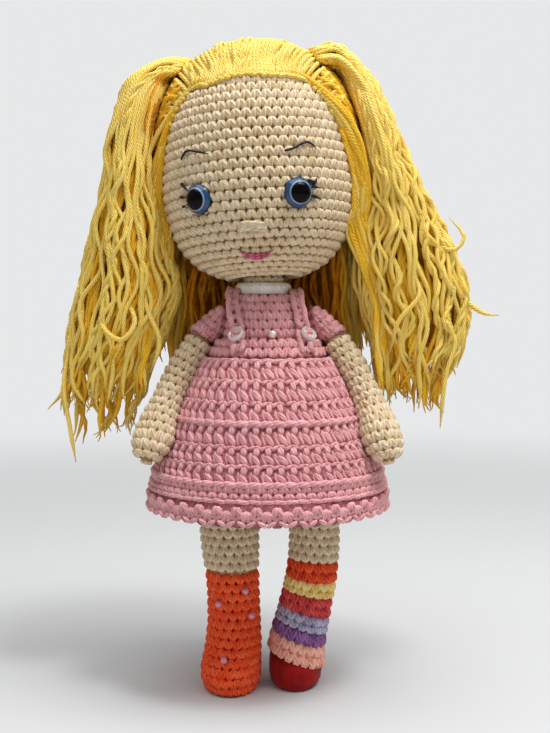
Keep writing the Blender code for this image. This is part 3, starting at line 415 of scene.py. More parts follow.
def ring(shape, point, normal, across, front):
    """The middle and the half widths of a cut across a solid."""
    spots = [spot - point for spot in section(shape, point, normal)]
    if not spots:
        return None
    sides = [spot.dot(across) for spot in spots]
    fronts = [spot.dot(front) for spot in spots]
    middle = point + across * (min(sides) + max(sides)) / 2 + front * (min(fronts) + max(fronts)) / 2
    return middle, across * (max(sides) - min(sides)) / 2, front * (max(fronts) - min(fronts)) / 2


def ring_along(shape, point, along):
    """A ring square to a limb."""
    across = (ACROSS - along * ACROSS.dot(along)).normalized()
    return ring(shape, point, along, across, across.cross(along))


def level(height):
    """Rounds that don't slope."""
    return 0.0


def rings_up(shape, heights, tilt=level, turn=Matrix.Identity(3), base=Vector((0, 0, 0))):
    """Rings across an upright solid, from the bottom up."""
    rings = []
    for height in heights:
        point = base + turn @ Vector((0, 0, height))
        flat = ring(shape, point, turn @ UP, turn @ ACROSS, turn @ FRONT)
        if flat is None:
            continue
        middle, side, depth = flat
        lean = math.radians(tilt(height))
        rings.append((middle, Matrix.Rotation(lean, 3, "Y") @ side / math.cos(lean), depth))
    return rings


def between(rings, t):
    """The ring at a place in a list of rings, t counting them."""
    t = min(max(t, 0.0), len(rings) - 1.0)
    low = min(int(t), len(rings) - 2)
    return [a.lerp(b, t - low) for a, b in zip(rings[low], rings[low + 1])]


def on(rings, t, angle, swell=1.0):
    """A point of the surface, the angle going round from the front."""
    middle, side, front = between(rings, t)
    return middle + (side * math.sin(angle) + front * math.cos(angle)) * swell


def framed(across, up, out, here):
    """The matrix that sets a stitch across, up and out of the fabric, at its place."""
    matrix = Matrix((across, up, out)).transposed().to_4x4()
    matrix.translation = here
    return matrix


def seat(rings, t, angle, depth=0.0):
    """The frame of a stitch on the surface."""
    up = (on(rings, t + 0.4, angle) - on(rings, t - 0.4, angle)).normalized()
    across = (on(rings, t, angle + 0.05) - on(rings, t, angle - 0.05)).normalized()
    out = across.cross(up).normalized()
    return framed(across, out.cross(across).normalized(), out, on(rings, t, angle) + out * depth)


def spaced(rings, step):
    """The same surface with rings a row apart along it."""
    run = [0.0]
    for a, b in zip(rings, rings[1:]):
        spans = [(on([a, b], 1, w) - on([a, b], 0, w)).length for w in (0, 1.57, 3.14, 4.71)]
        run.append(run[-1] + sum(spans) / 4)
    count = max(1, round(run[-1] / step))
    even = []
    for k in range(count + 1):
        goal = run[-1] * k / count
        low = max(i for i in range(len(run) - 1) if run[i] <= goal + 1e-12)
        f = min(1.0, (goal - run[low]) / max(run[low + 1] - run[low], 1e-9))
        even.append([a.lerp(b, f) for a, b in zip(rings[low], rings[low + 1])])
    return even


def knit(bm, rings, mesh=SINGLE, pitch=STITCH, row=ROW, depth=-0.0004, keep=None, shift=0.5, loose=5):
    """Rounds of stitches over a surface, from its first ring to its last."""
    for t in range(len(rings) - 1):
        side, front = between(rings, t + 0.5)[1:]
        around = math.tau * math.sqrt((side.length**2 + front.length**2) / 2)
        count = max(5, round(around / pitch))
        tall = (on(rings, t + 1, 0.8) - on(rings, t, 0.8)).length / row
        for k in range(count):
            place = seat(rings, t + 0.5, math.tau * (k + shift * t) / count, depth)
            if keep and not keep(place.translation):
                continue
            wobble = Matrix.Rotation(math.radians(DICE.uniform(-loose, loose)), 4, "Z")
            size = around / count / pitch
            grow = DICE.uniform(0.95, 1.06)
            stamp(bm, mesh, place @ wobble @ Matrix.Diagonal((size * grow, tall * grow, grow, 1)))


def steps(low, high, count):
    return [low + (high - low) * k / count for k in range(count + 1)]


def in_rounds(node, name, body, paints, slot, pull, cuts, step, end=CUT, fill=0, inner=1, **stitches):
    """An upright solid worked in rounds from its lower edge; its fill is not used."""
    low, high = (corner[2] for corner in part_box(node))
    bm = started()
    lining(bm, [node], pull, slot=inner)
    knit(bm, spaced(rings_up(merged(node), steps(low + end, high - end, cuts)), step), **stitches)
    piece = finished(name, bm, paints, body, [node])


def tube(sides, lengths):
    """A closed tube one long and one in radius, with its own map."""
    bm = started()
    made = bmesh.ops.create_grid(bm, x_segments=sides, y_segments=lengths, size=0.5, calc_uvs=True)["verts"]
    for vert in made:
        turn = math.tau * vert.co.x
        vert.co = (math.cos(turn), math.sin(turn), vert.co.y + 0.5)
    bmesh.ops.remove_doubles(bm, verts=bm.verts, dist=1e-5)
    bmesh.ops.holes_fill(bm, edges=[edge for edge in bm.edges if edge.is_boundary])
    bmesh.ops.recalc_face_normals(bm, faces=bm.faces)
    for face in bm.faces:
        face.smooth = True
    return mesh_of(bm, "tube")


TUBES = {}


def flow(points, step=STRAND_STEP):
    """Even points on a smooth line through a few."""
    points = [Vector(p) for p in points]
    ends = [points[0] * 2 - points[1]] + points + [points[-1] * 2 - points[-2]]
    fine = []
    for a, b, c, d in zip(ends, ends[1:], ends[2:], ends[3:]):
        pieces = max(2, int((c - b).length / 0.001))
        for k in range(pieces):
            f = k / pieces
            fine.append(
                0.5 * (2 * b + (c - a) * f + (2 * a - 5 * b + 4 * c - d) * f * f
                       + (3 * b - a - 3 * c + d) * f**3)
            )
    fine.append(points[-1])
    even, run = [fine[0]], 0.0
    for a, b in zip(fine, fine[1:]):
        run += (b - a).length
        if run >= step:
            even.append(b)
            run = 0.0
    return even


def strand(bm, line, radius, slot=0, sides=6, taper=0.35, step=STRAND_STEP):
    """A length of yarn along a line, its end worn to a point."""
    count = len(line) - 1
    if count < 3:
        return
    if (sides, count) not in TUBES:
        made = tube(sides, count)
        plain = np.empty(len(made.uv_layers[0].uv) * 2)
        made.uv_layers[0].uv.foreach_get("vector", plain)
        TUBES[sides, count] = made, plain
    blank, plain = TUBES[sides, count]
    mesh = blank.copy()
    spots = np.array(line)
    along = np.gradient(spots, axis=0)
    along /= np.linalg.norm(along, axis=1)[:, None]
    first = np.cross(along[0], (0.3, 1.0, 0.2))
    side = [first / np.linalg.norm(first)]
    for direction in along[1:]:
        turned = side[-1] - direction * side[-1].dot(direction)
        side.append(turned / np.linalg.norm(turned))
    side = np.array(side)
    over = np.cross(along, side)
    girths = np.full(count + 1, radius)
    girths[0] *= 0.7
    girths[-1] *= taper * 0.5
    girths[-2] *= taper
    girths[-3] *= 0.5 + taper / 2
    flat = np.empty(len(mesh.vertices) * 3)
    mesh.vertices.foreach_get("co", flat)
    flat = flat.reshape(-1, 3)
    index = np.rint(flat[:, 2] * count).astype(int)
    placed = spots[index] + girths[index][:, None] * (
        side[index] * flat[:, :1] + over[index] * flat[:, 1:2]
    )
    mesh.vertices.foreach_set("co", placed.ravel())
    uv = plain.copy()
    uv[1::2] *= count * step / PLY_PITCH
    mesh.uv_layers[0].uv.foreach_set("vector", uv)
    if slot:
        mesh.polygons.foreach_set("material_index", [slot] * len(mesh.polygons))
    take_in(bm, mesh)


def heading(line, k, reach=1):
    """The way a line of points runs at one of them."""
    return (line[min(k + reach, len(line) - 1)] - line[max(k - reach, 0)]).normalized()


def waved(line, slack, out, start):
    """The line with the waves of unravelled yarn, calm up to some way from its root."""
    size, length = DICE.uniform(*slack), DICE.uniform(*WAVE_LENGTHS)
    phase, drift = DICE.uniform(0, math.tau), DICE.uniform(0, math.tau)
    made, run = [], 0.0
    for k, here in enumerate(line):
        if k:
            run += (here - line[k - 1]).length
        side = heading(line, k).cross(out).normalized()
        calm = min(1.0, max(0.0, (run - start) / 0.03))
        swing = math.sin(math.tau * run / length + phase)
        swing += 0.45 * math.sin(math.tau * run / (length * 2.3) + drift)
        heave = math.cos(math.tau * run / (length * 1.15) + phase * 1.7)
        made.append(here + side * (swing * size * calm) + out * (heave * size * 0.45 * calm))
    return made


# Head
head_solid = merged("head")
HEAD_RINGS = rings_up(
    head_solid, steps(-HEAD_SINK + CUT, HEAD_HEIGHT - HEAD_SINK - CUT, 44), turn=HEAD_LEAN,
    base=NECK_PIVOT,
)
HAIRLINE = 0.082
NAPE = 0.034
BEHIND_EARS = 0.012


def upright(point):
    """A point measured from the neck's ball along the head's own axes."""
    return HEAD_LEAN.transposed() @ (point - NECK_PIVOT)


def bare_head(place):
    """Whether a stitch of the head shows outside the hair."""
    there = upright(place)
    return there.z < (HAIRLINE if there.y < BEHIND_EARS else NAPE)


bm = started()
lining(bm, ["head"], 0.0009)
# the lining is painted shade, but the closed round under the chin has no gaps to look through, so it takes
# the yarn's own colour
CHIN_ROUND = 0.182
for face in bm.faces:
    face.material_index = 0 if face.calc_center_median().z < CHIN_ROUND else 1
knit(bm, spaced(HEAD_RINGS, ROW), keep=bare_head)
finished("head_knit", bm, SKIN, "head", ["head"])

# Neck, collar and torso
in_rounds("neck", "neck_knit", "neck", SKIN, "skin_yarn", 0.0006, 6, 0.0036, 0.001, fill=0.8, pitch=0.0036)
in_rounds(
    "collar", "collar_knit", "torso", WHITE, "white_yarn", -0.0002, 4, 0.0026, inner=0, pitch=0.0030,
    row=0.0036, depth=-0.0010,
)
for node, name, paints, slot in (
    ("torso_lower", "body_knit", SKIN, "skin_yarn"), ("torso_top", "bib_knit", PINK, "pink_yarn"),
):
    in_rounds(
        node, name, "torso", paints, slot, 0.0008, 14, 0.0037, fill=0.85, pitch=0.0036, row=0.0037,
        depth=-0.0002,
    )

# Arms, knitted from the hand up to the shoulder, and sleeves from the cuff up
for side, sign in SIDES:
    node = "arm_" + side
    solid = merged(node)
    low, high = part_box(node)
    line = [cut[0] for cut in rings_up(solid, steps(low[2] + 0.0012, high[2] - 0.004, 26))]
    cuts = [ring_along(solid, here, heading(line, k, 2)) for k, here in enumerate(line)]
    rings = [cut for cut in cuts if cut]
    bm = started()
    lining(bm, [node], 0.0008)
    knit(bm, spaced(rings, 0.0039), pitch=0.0038, row=0.0039)
    tip, across, front = rings[0]
    down = (tip - rings[2][0]).normalized()
    stamp(bm, CLOSING, framed(across.normalized(), front.normalized(), down, tip + down * 0.0008))
    finished("arm_knit_" + side, bm, SKIN, node, [node])

    solid = merged("sleeve_" + side)
    bm = started()
    lining(bm, ["sleeve_" + side], 0.0004)
    shoulder, cuff = Vector((sign * 0.0190, 0, 0.1672)), Vector((sign * 0.0312, 0, 0.1520))
    along = (shoulder - cuff).normalized()
    cuts = [ring_along(solid, cuff.lerp(shoulder, f), along) for f in steps(0.04, 0.9, 8)]
    knit(bm, spaced([cut for cut in cuts if cut], 0.0034), pitch=0.0036, row=0.0034, depth=-0.0009)
    finished("sleeve_knit_" + side, bm, PINK, node, ["sleeve_" + side])

# Legs and socks. The rounds of the striped foot slope, left side high: height and degrees.
RIGHT_TILTS = (
    (0.0, 0), (0.0122, 20), (0.0200, 19), (0.0258, 18.5), (0.0322, 17), (0.0400, 13), (0.0458, 8),
    (0.0549, 5), (0.075, 2), (0.12, 0),
)
# each stripe's upper edge, the height of its rounds, its slot and its dye
STRIPES = (
    ("toe", 0.0119, 0.0042, "dark_red_yarn", ("#700202", "#9c0404", "#b80c0a")),
    ("peach", 0.0204, 0.0042, "peach_yarn", ("#d88a72", "#ffb8a0", "#ffcdbc")),
    ("purple", 0.0256, 0.0052, "purple_yarn", ("#66386c", "#905a98", "#ac7ab4")),
    ("blue", 0.0322, 0.0033, "blue_yarn", ("#8a84a4", "#bab2cc", "#d2cce2")),
    ("raspberry", 0.0400, 0.0039, "raspberry_yarn", ("#9c2024", "#dc4446", "#f06462")),
    ("yellow", 0.0463, 0.0031, "yellow_yarn", ("#dcac52", "#ffe086", "#ffeeac")),
    ("orange", 0.0549, 0.0040, "vermilion_yarn", ("#b02404", "#f04a14", "#fa6c34")),
)


def right_tilt(height):
    """How much the rounds of the right foot slope at a height, in degrees."""
    for (a, low_tilt), (b, high_tilt) in zip(RIGHT_TILTS, RIGHT_TILTS[1:]):
        if height <= b:
            return low_tilt + (high_tilt - low_tilt) * (height - a) / (b - a)
    return 0


SOCKS = {
    "left": [("sock_left", 0.0508, 0.0039, ORANGE, "orange_yarn")],
    "right": [
        (
            "sock_right_" + name, top, tall,
            [
                spun_yarn(name + "_cotton_yarn", *dye, sheen=0.08),
                # each stripe's inner side is its dye's deep and body colours, painted as shade between
                # stitches
                packed_yarn(name + "_cotton_inside", *dye[:2]),
            ],
            slot,
        )
        for name, top, tall, slot, dye in STRIPES
    ],
}
for side, tilt in (("left", level), ("right", right_tilt)):
    bands = SOCKS[side] + [("leg_" + side, 0.1035, 0.0038, SKIN, "skin_yarn")]
    solid = merged(*(band[0] for band in bands))
    start = 0.0008
    for node, top, tall, paints, slot in bands:
        toe = node.endswith("toe")
        bm = started()
        lining(bm, [node], 0.0 if toe else 0.0007, slot=0 if toe else 1, level=True)
        rings = spaced(rings_up(solid, steps(start, top, 24), tilt), tall)
        knit(bm, rings, mesh=RISING, pitch=0.0040, row=0.0038, depth=-0.0020 if toe else -0.0005)
        # the orange sock's last round overlaps the leg's first
        start = top - (0.0010 if node == "sock_left" else 0)
        name = node.replace("sock", "sock_knit").replace("leg", "leg_knit")
        finished(name, bm, paints, "leg_" + side, [node])

# Dress
skirt_solid = merged("dress_skirt")
skirt_low, skirt_high = (corner[2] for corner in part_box("dress_skirt"))
# the lines between the skirt's rows of double crochet, from the waist down
ROW_LINES = (0.1440, 0.1354, 0.1268, 0.1184, 0.1097, 0.1024, 0.0951)
RIB_LINES = (ROW_LINES[3], ROW_LINES[6])


def skirt_rings(*heights):
    """Rings of the skirt, kept inside its edges."""
    return rings_up(skirt_solid, [min(max(h, skirt_low + 0.0012), skirt_high - 0.0008) for h in heights])


bm = started()
# the cloth under the stitches is the pink yarn painted darker, as painted shade
lining(bm, ["dress_skirt"], 0.0, slot=0)
skirt_cloth = finished("skirt_cloth", bm, PINK[1:], "torso", ["dress_skirt"])
bm = started()
for upper, lower in zip(ROW_LINES, ROW_LINES[1:]):
    knit(bm, skirt_rings(lower, upper), DOUBLE, 0.0050, 0.0094, depth=0.0002, shift=0, loose=9)
for line in RIB_LINES:
    knit(bm, skirt_rings(line - 0.001, line + 0.001), CHAIN, 0.0048, 0.002, 0.0012)
# two rounds above the hem, then the chains along the hem and the waist
for heights, stitch, pitch, row, depth in (
    ((0.0888, 0.0916, 0.0945), SINGLE, 0.0044, 0.0036, 0.0),
    ((0.0874, 0.0894), CHAIN, 0.0048, 0.002, 0.0006),
    ((0.1428, 0.1438), CHAIN, 0.0046, 0.001, 0.0004),
):
    knit(bm, skirt_rings(*heights), stitch, pitch, row, depth)
skirt_stitches = finished("skirt_stitches", bm, PINK[:1], "torso")

edge_low, edge_high = (corner[2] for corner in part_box("dress_edging"))
edge = rings_up(merged("dress_edging"), [edge_low + 0.0035, edge_high - 0.0012])
bm = started()
lining(bm, ["dress_edging"], 0.0)
# the rows above are worked into the edging, so it reaches up behind the cloth
for vert in bm.verts:
    if vert.co.z > edge_high - 0.0004:
        vert.co = Vector((vert.co.x * 0.985, vert.co.y * 0.985, vert.co.z + 0.0045))
SHELL_COUNT = 40
for k in range(SHELL_COUNT):
    stamp(bm, SHELL, seat(edge, 0.5, math.tau * k / SHELL_COUNT))
    stamp(bm, SINGLE, seat(edge, 0.95, math.tau * (k + 0.5) / SHELL_COUNT, 0.0002))
hem = finished("hem_shells", bm, PINK, "torso", ["dress_edging"])
in_rounds(
    "dress_waistband", "waistband_knit", "torso", PINK, "pink_yarn", 0.0005, 6, 0.0040, pitch=0.0040,
    depth=-0.0002,
)

# Straps over the shoulders: a row of stitches between two ribs
RIB_APART = 0.0019
RIB_STEP = 0.0012
for side, sign in SIDES:
    node = "strap_" + side
    solid = merged(node)
    low, high = (Vector(corner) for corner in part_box(node))
    pivot = Vector(((low.x + high.x) / 2, (low.y + high.y) / 2, 0.150))
    bm = started()
    lining(bm, [node], 0.0003)
    line = []
    for k in range(61):
        turn = math.pi * (k / 60 * 1.3 - 0.15)
        radial = Vector((0, -math.cos(turn), math.sin(turn)))
        spots = [
            spot for spot in section(solid, pivot, Vector((0, math.sin(turn), math.cos(turn))))
            if (spot - pivot).dot(radial) > 0.004
        ]
        if len(spots) > 3:
            reach = max((spot - pivot).dot(radial) for spot in spots)
            middle = sum(spot.x for spot in spots) / len(spots)
            line.append(Vector((middle, pivot.y, pivot.z)) + radial * reach)
    run = 0.0
    ribs = {-1: [], 1: []}
    for a, b in zip(line, line[1:]):
        along = (b - a).normalized()
        out = (a + b) / 2 - pivot
        out = (out - along * out.dot(along)).normalized()
        across = along.cross(out).normalized()
        if across.x < 0:
            across, along = -across, -along
        for way, rib in ribs.items():
            rib.append(a + across * (RIB_APART * way) - out * 0.0006)
        run += (b - a).length
        if run < 0.0030:
            continue
        run = 0.0
        place = framed(across, along, out, a) @ Matrix.Translation((0, 0, -0.0011))
        stamp(bm, SINGLE, place @ Matrix.Diagonal((0.62, 0.62, 0.62, 1)))
    for rib in ribs.values():
        strand(bm, flow(rib, RIB_STEP), 0.00125, sides=8, taper=0.9, step=RIB_STEP)
    finished("strap_knit_" + side, bm, PINK, "torso", [node])


# Hair


cap_tree = BVHTree.FromBMesh(merged("hair_cap"))
SKULL_REACH = 0.12
# how far strands stay off the head, over the hair layer and where there is none
OVER_LAYER = 0.0086
OVER_SKIN = 0.0016


def layer_at(way):
    """The outer face of the hair layer over the skull, in a direction from its middle."""
    return cap_tree.ray_cast(HEAD_MIDDLE + way * SKULL_REACH, -way, SKULL_REACH)[0]


def on_cap(fan, spread, lift=0.0):
    """A point of the hair layer: fan goes from the front over the top, spread sideways."""
    fan, spread = math.radians(fan), math.radians(spread)
    way = HEAD_LEAN @ Vector(
        (math.sin(spread), -math.cos(spread) * math.cos(fan), math.cos(spread) * math.sin(fan))
    )
    hit = layer_at(way)
    return hit + way * lift if hit else None


def clear(point, lift):
    """The point, kept outside the hair layer."""
    way = (point - HEAD_MIDDLE).normalized()
    hit = layer_at(way)
    if hit is None or (hit - HEAD_MIDDLE).length + lift < (point - HEAD_MIDDLE).length:
        return point
    return hit + way * lift


def head_share(height):
    """A height of the head as a place in its list of rings."""
    return (height + HEAD_SINK - CUT) / (HEAD_HEIGHT - 2 * CUT) * (len(HEAD_RINGS) - 1)


def rim_y(height):
    """How far forward the hair layer comes at a height of the head."""
    return -0.022 + (0.080 - height) * math.tan(math.radians(15))


def rim_seat(height, sign):
    """The frame of a stitch where the hairline crosses the head at a height."""
    t = head_share(height)
    front = between(HEAD_RINGS, t)[2]
    forward = max(-1.0, min(1.0, -rim_y(height) / front.length))
    return seat(HEAD_RINGS, t, sign * math.acos(forward))


def off_head(point):
    """The point, moved out of the head, and behind the rim out of the hair layer too."""
    there = upright(point)
    if not -HEAD_SINK < there.z < HEAD_HEIGHT - HEAD_SINK:
        return point
    middle, side, front = between(HEAD_RINGS, head_share(there.z))
    away = point - middle
    reach = math.hypot(away.dot(side) / side.length_squared, away.dot(front) / front.length_squared)
    layered = there.y > rim_y(there.z) and there.z > 0.014
    want = 1 + (OVER_LAYER if layered else OVER_SKIN) / side.length
    return middle + away * (want / reach) if reach < want else point


# the heights at which the curtains are cut, from the crown down
LOCK_HEIGHTS = (
    0.2685, 0.2645, 0.2590, 0.2520, 0.2440, 0.2350, 0.2250, 0.2140, 0.2030, 0.1920, 0.1810,
    0.1700, 0.1590, 0.1480, 0.1370, 0.1260, 0.1150, 0.1070,
)
# how high each side's yarn arches as it leaves the parting
ARCH = {"left": 0.0040, "right": 0.0085}
CLUMPS = 11
TWINE_PITCH = 0.0125


def yarn(bm, line, slot=YELLOW, twined=False):
    """One strand, or two twined round each other."""
    if not twined:
        strand(bm, line, HAIR_YARN / 2 * DICE.uniform(0.88, 1.08), slot)
        return
    phase = DICE.uniform(0, math.tau)
    for half in (0, math.pi):
        pair = []
        for k, here in enumerate(line):
            along = heading(line, k)
            side = along.cross(Vector((0.2, 1, 0.1))).normalized()
            turn = math.tau * k * STRAND_STEP / TWINE_PITCH + phase + half
            pair.append(here + (side * math.cos(turn) + along.cross(side) * math.sin(turn)) * 0.0009)
        strand(bm, pair, HAIR_YARN / 2 * 0.9, slot)


def drawn_in(side, x, height, power=1.0):
    """A place across the curtain, drawn in towards the neck at its ragged end."""
    if side == "left":
        share = 1 - 0.05 * max(0.0, 0.135 - height) / 0.03
    else:
        share = 1 - 0.16 * max(0.0, min(1.0, (0.160 - height) / 0.045))
    return (x - NECK_PIVOT.x) * share**power + NECK_PIVOT.x


def fall(bm, rings, side, sign, root, angle, layer, arch, start, end, slot, wild):
    """One strand from its root over the head and down the curtain."""
    first = clear(off_head(on(rings, start, angle, layer)), 0.0006)
    points = [root, root.lerp(first, 0.5) + UP * arch]
    drift = DICE.uniform(-0.14, 0.14)
    # strands gather into clumps towards their ends
    heart = on(rings, len(rings) - 1, round(angle / math.tau * CLUMPS) / CLUMPS * math.tau, 0.82)
    t = start
    while t < end * (len(rings) - 1):
        here = on(rings, t, angle + drift * t / 8, layer * DICE.uniform(0.97, 1.03))
        here.x = drawn_in(side, here.x, here.z)
        gather = max(0.0, (t - 11) / 6) * 0.55
        pull = Vector((heart.x - here.x, heart.y - here.y, 0)) * gather
        points.append(off_head(here + pull * 0.8))
        t += 1.4
    points[-1] += Vector((sign * DICE.uniform(-0.003, 0.003), DICE.uniform(-0.003, 0.003), 0))
    flick = (sign * DICE.uniform(-0.002, 0.003), DICE.uniform(-0.002, 0.002), -DICE.uniform(0.003, 0.008))
    points.append(points[-1] + Vector(flick) + ACROSS * sign * wild)
    points[-2] += ACROSS * sign * wild * 0.6
    line = flow(points)
    line[2:24] = [clear(point, 0.0004) for point in line[2:24]]
    out = (on(rings, 8, angle) - rings[8][0]).normalized()
    slack = (0.0009, 0.0026) if slot == YELLOW else (0.0005, 0.0015)
    line = waved(line, slack, out, 0.035)
    yarn(bm, line, slot, twined=DICE.random() < 0.16)


def in_front_of_rim(height, sign, apart, ahead):
    """A place before the edge of the hair layer, some way out from the face."""
    foot = upright(rim_seat(height, sign).translation)
    return NECK_PIVOT + HEAD_LEAN @ Vector((foot.x + sign * apart, rim_y(height) - ahead, height))


def beside_face(bm, sign, height, reach, end):
    """A strand knotted at the rim that hangs along the edge of the face."""
    place = rim_seat(height, sign)
    out = place.to_3x3() @ UP
    points = [place.translation + out * 0.0006]
    step = height - 0.004
    while step > 0.012:
        apart = 0.0008 + reach * min(1.0, (height - step) / 0.022)
        points.append(in_front_of_rim(step, sign, apart, DICE.uniform(0.0006, 0.0020)))
        step -= 0.009
    landing = Vector((NECK_PIVOT.x + sign * (0.0462 + reach), -0.012 + reach, 0.166))
    points += [points[-1].lerp(landing, 0.55) + ACROSS * sign * 0.001, landing]
    x, y, z = landing
    while z > end:
        z -= 0.010
        x += sign * 0.0010
        points.append(Vector((x, y, z)))
    line = waved(flow(points), (0.0005, 0.0016), FRONT, 0.04)
    # two in three of these strands are painted in shade
    yarn(bm, line, slot=DICE.choice((YELLOW, HAIR_IN_PAINTED_SHADE, HAIR_IN_PAINTED_SHADE)))
    knot = place @ Matrix.Rotation(math.radians(90), 4, "Z")
    stamp(bm, KNOT, Matrix.Translation(out * 0.0012) @ knot)


# loose ends that stand off the curtains
STRAYS = {
    "left": (
        ((-0.086, -0.004, 0.150), (-0.0885, -0.006, 0.132), (-0.0860, -0.006, 0.114),
         (-0.0835, -0.006, 0.0985)),
        ((-0.062, -0.012, 0.172), (-0.056, -0.0165, 0.160), (-0.062, -0.018, 0.152),
         (-0.070, -0.016, 0.158), (-0.0715, -0.013, 0.168)),
        ((-0.050, -0.010, 0.185), (-0.052, -0.013, 0.168), (-0.046, -0.014, 0.152),
         (-0.050, -0.013, 0.138)),
    ),
    "right": (
        ((0.074, -0.002, 0.182), (0.083, -0.006, 0.171), (0.093, -0.006, 0.1635),
         (0.1010, -0.006, 0.1625)),
        ((0.066, -0.010, 0.198), (0.078, -0.012, 0.190), (0.0835, -0.012, 0.196),
         (0.0775, -0.010, 0.204)),
        ((0.072, -0.012, 0.160), (0.0800, -0.012, 0.152), (0.0760, -0.012, 0.136),
         (0.0740, -0.010, 0.1120)),
        ((0.058, -0.014, 0.185), (0.064, -0.018, 0.172), (0.055, -0.0185, 0.160),
         (0.052, -0.016, 0.147)),
    ),
}
# the body of yarn under the strands, painted darker as shade, ends above their ragged ends
CURTAIN_LINING_END = 0.150
BACK_LINING_END = 0.128

for side, sign in SIDES:
    rings = rings_up(merged("hair_" + side), LOCK_HEIGHTS)
    bm = started()
    lining(bm, ["hair_" + side], 0.0045)
    for vert in bm.verts:
        vert.co.x = drawn_in(side, vert.co.x, vert.co.z, 1.5)
        heart = min(rings, key=lambda cut: abs(cut[0].z - vert.co.z))[0]
        slim = 1 - 0.4 * min(1.0, max(0.0, (0.240 - vert.co.z) / 0.03))
        behind = 1 - 0.35 * min(1.0, max(0.0, (vert.co.y - heart.y) / 0.012))
        vert.co.x = heart.x + (vert.co.x - heart.x) * slim
        vert.co.y = heart.y + (vert.co.y - heart.y) * slim * behind
        vert.co.z = max(vert.co.z, CURTAIN_LINING_END)
    # the outer strands spring from the parting and arch over; the inner layer of them is painted in shade
    for layer, count, slot in ((1.0, 62, YELLOW), (0.86, 58, HAIR_IN_PAINTED_SHADE)):
        for k in range(count):
            angle = math.tau * (k + 0.6 * DICE.random()) / count
            turned = (angle + math.pi) % math.tau - math.pi
            back = abs(turned) / math.pi
            outer = (1 + sign * math.sin(angle)) / 2
            root = on_cap(66 + 84 * back, sign * (44 - 20 * outer), -0.0006)
            if root is None:
                continue
            fall(
                bm, rings, side, sign, root - UP * 0.001, angle, layer, ARCH[side] * (0.3 + 0.7 * outer),
                1.0 if outer > 0.6 else 2.0, DICE.uniform(0.84, 0.97), slot,
                DICE.uniform(0.003, 0.008) if DICE.random() < 0.10 else 0.0,
            )
    # the inner strands hang from the hairline beside the face
    for k in range(30):
        height = 0.081 - 0.060 * k / 29
        beside_face(bm, sign, height, DICE.uniform(0.001, 0.0068), DICE.uniform(0.128, 0.152))
    for points in STRAYS[side]:
        yarn(bm, flow(points))
    finished("hair_side_" + side, bm, HAIR, "head", ["hair_" + side])

# The crown and the back hair are one fall of yarn from the hairline
BACK_LOCKS = ["hair_back_%d" % k for k in range(1, 6)]
bm = started()
lining(bm, ["hair_cap"], 0.0)
for vert in bm.verts:
    vert.co -= (vert.co - HEAD_MIDDLE).normalized() * 0.0054
lining(bm, BACK_LOCKS, 0.0024)
for vert in bm.verts:
    vert.co.y -= max(0.0, 0.165 - vert.co.z) * 0.22
    vert.co.z = max(vert.co.z, BACK_LINING_END)
back_tree = BVHTree.FromBMesh(merged(*BACK_LOCKS))
back_low = min(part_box(name)[0][2] for name in BACK_LOCKS)
BACK_VIEW = 0.2


def down_back(points, end, lift):
    """The rest of a strand, lying on the locks of the back."""
    x, y, z = points[-1]
    z -= 0.006
    while z > end:
        hit = back_tree.ray_cast(Vector((x, BACK_VIEW, z)), FRONT)[0]
        y = hit.y + lift if hit else y - 0.0004
        points.append(Vector((x, y, z)))
        x = NECK_PIVOT.x + (x - NECK_PIVOT.x) * 1.012
        z -= 0.008


def hairline(angle):
    """Where the hair layer's front edge meets the forehead, going round from the middle."""
    height = 0.0905
    while height > 0.06:
        spot = on(HEAD_RINGS, head_share(height), angle)
        if upright(spot).y < rim_y(height) - 0.0006:
            break
        height -= 0.0004
    return height


def fringe(x):
    """How far the middle of the hairline comes down over the forehead."""
    return 0.006 * min(1.0, max(0.0, (x + 0.031) / 0.009)) * min(1.0, max(0.0, (0.016 - x) / 0.016))


for layer, count in ((0, 52), (1, 44)):
    for k in range(count):
        share = (k + 0.5) / count * 2 - 1
        angle = math.radians(62) * share
        height = hairline(angle)
        root = seat(HEAD_RINGS, head_share(height), angle).translation
        place = seat(HEAD_RINGS, head_share(height - fringe(root.x) - DICE.uniform(0, 0.0006)), angle)
        out = place.to_3x3() @ UP
        if layer == 0:
            stamp(bm, KNOT, Matrix.Translation(out * 0.0008) @ place)
        way = HEAD_LEAN.transposed() @ (root - HEAD_MIDDLE)
        first_fan = math.degrees(math.atan2(way.z, -way.y))
        first_spread = math.degrees(math.asin(way.x / way.length))
        fans = [fan for fan in range(int(first_fan) - 6, 120) if on_cap(fan, first_spread)]
        edge = on_cap(fans[0] + 1, first_spread, -0.0020)
        loft = 0.0012 + 0.0008 * layer
        points = [root, root.lerp(edge, 0.5) + FRONT * loft, edge + FRONT * 0.0004]
        if (place.translation - root).length > 0.001:
            points[0] += out * loft
            points.insert(0, place.translation + out * 0.0006)
        for fan in range(fans[0] + 7, 192, 8):
            f = min(1.0, (fan - first_fan) / 70)
            spread = first_spread + (61 * share - first_spread) * f
            spot = on_cap(fan, spread, -0.0036 + 0.0012 * layer)
            if spot is not None:
                points.append(spot)
        down_back(points, back_low + DICE.uniform(0.000, 0.014), -0.0004 + 0.0016 * layer)
        line = waved(flow(points), (0.0004, 0.0015), BEHIND, 0.05)
        yarn(bm, line, twined=layer == 1 and DICE.random() < 0.2)

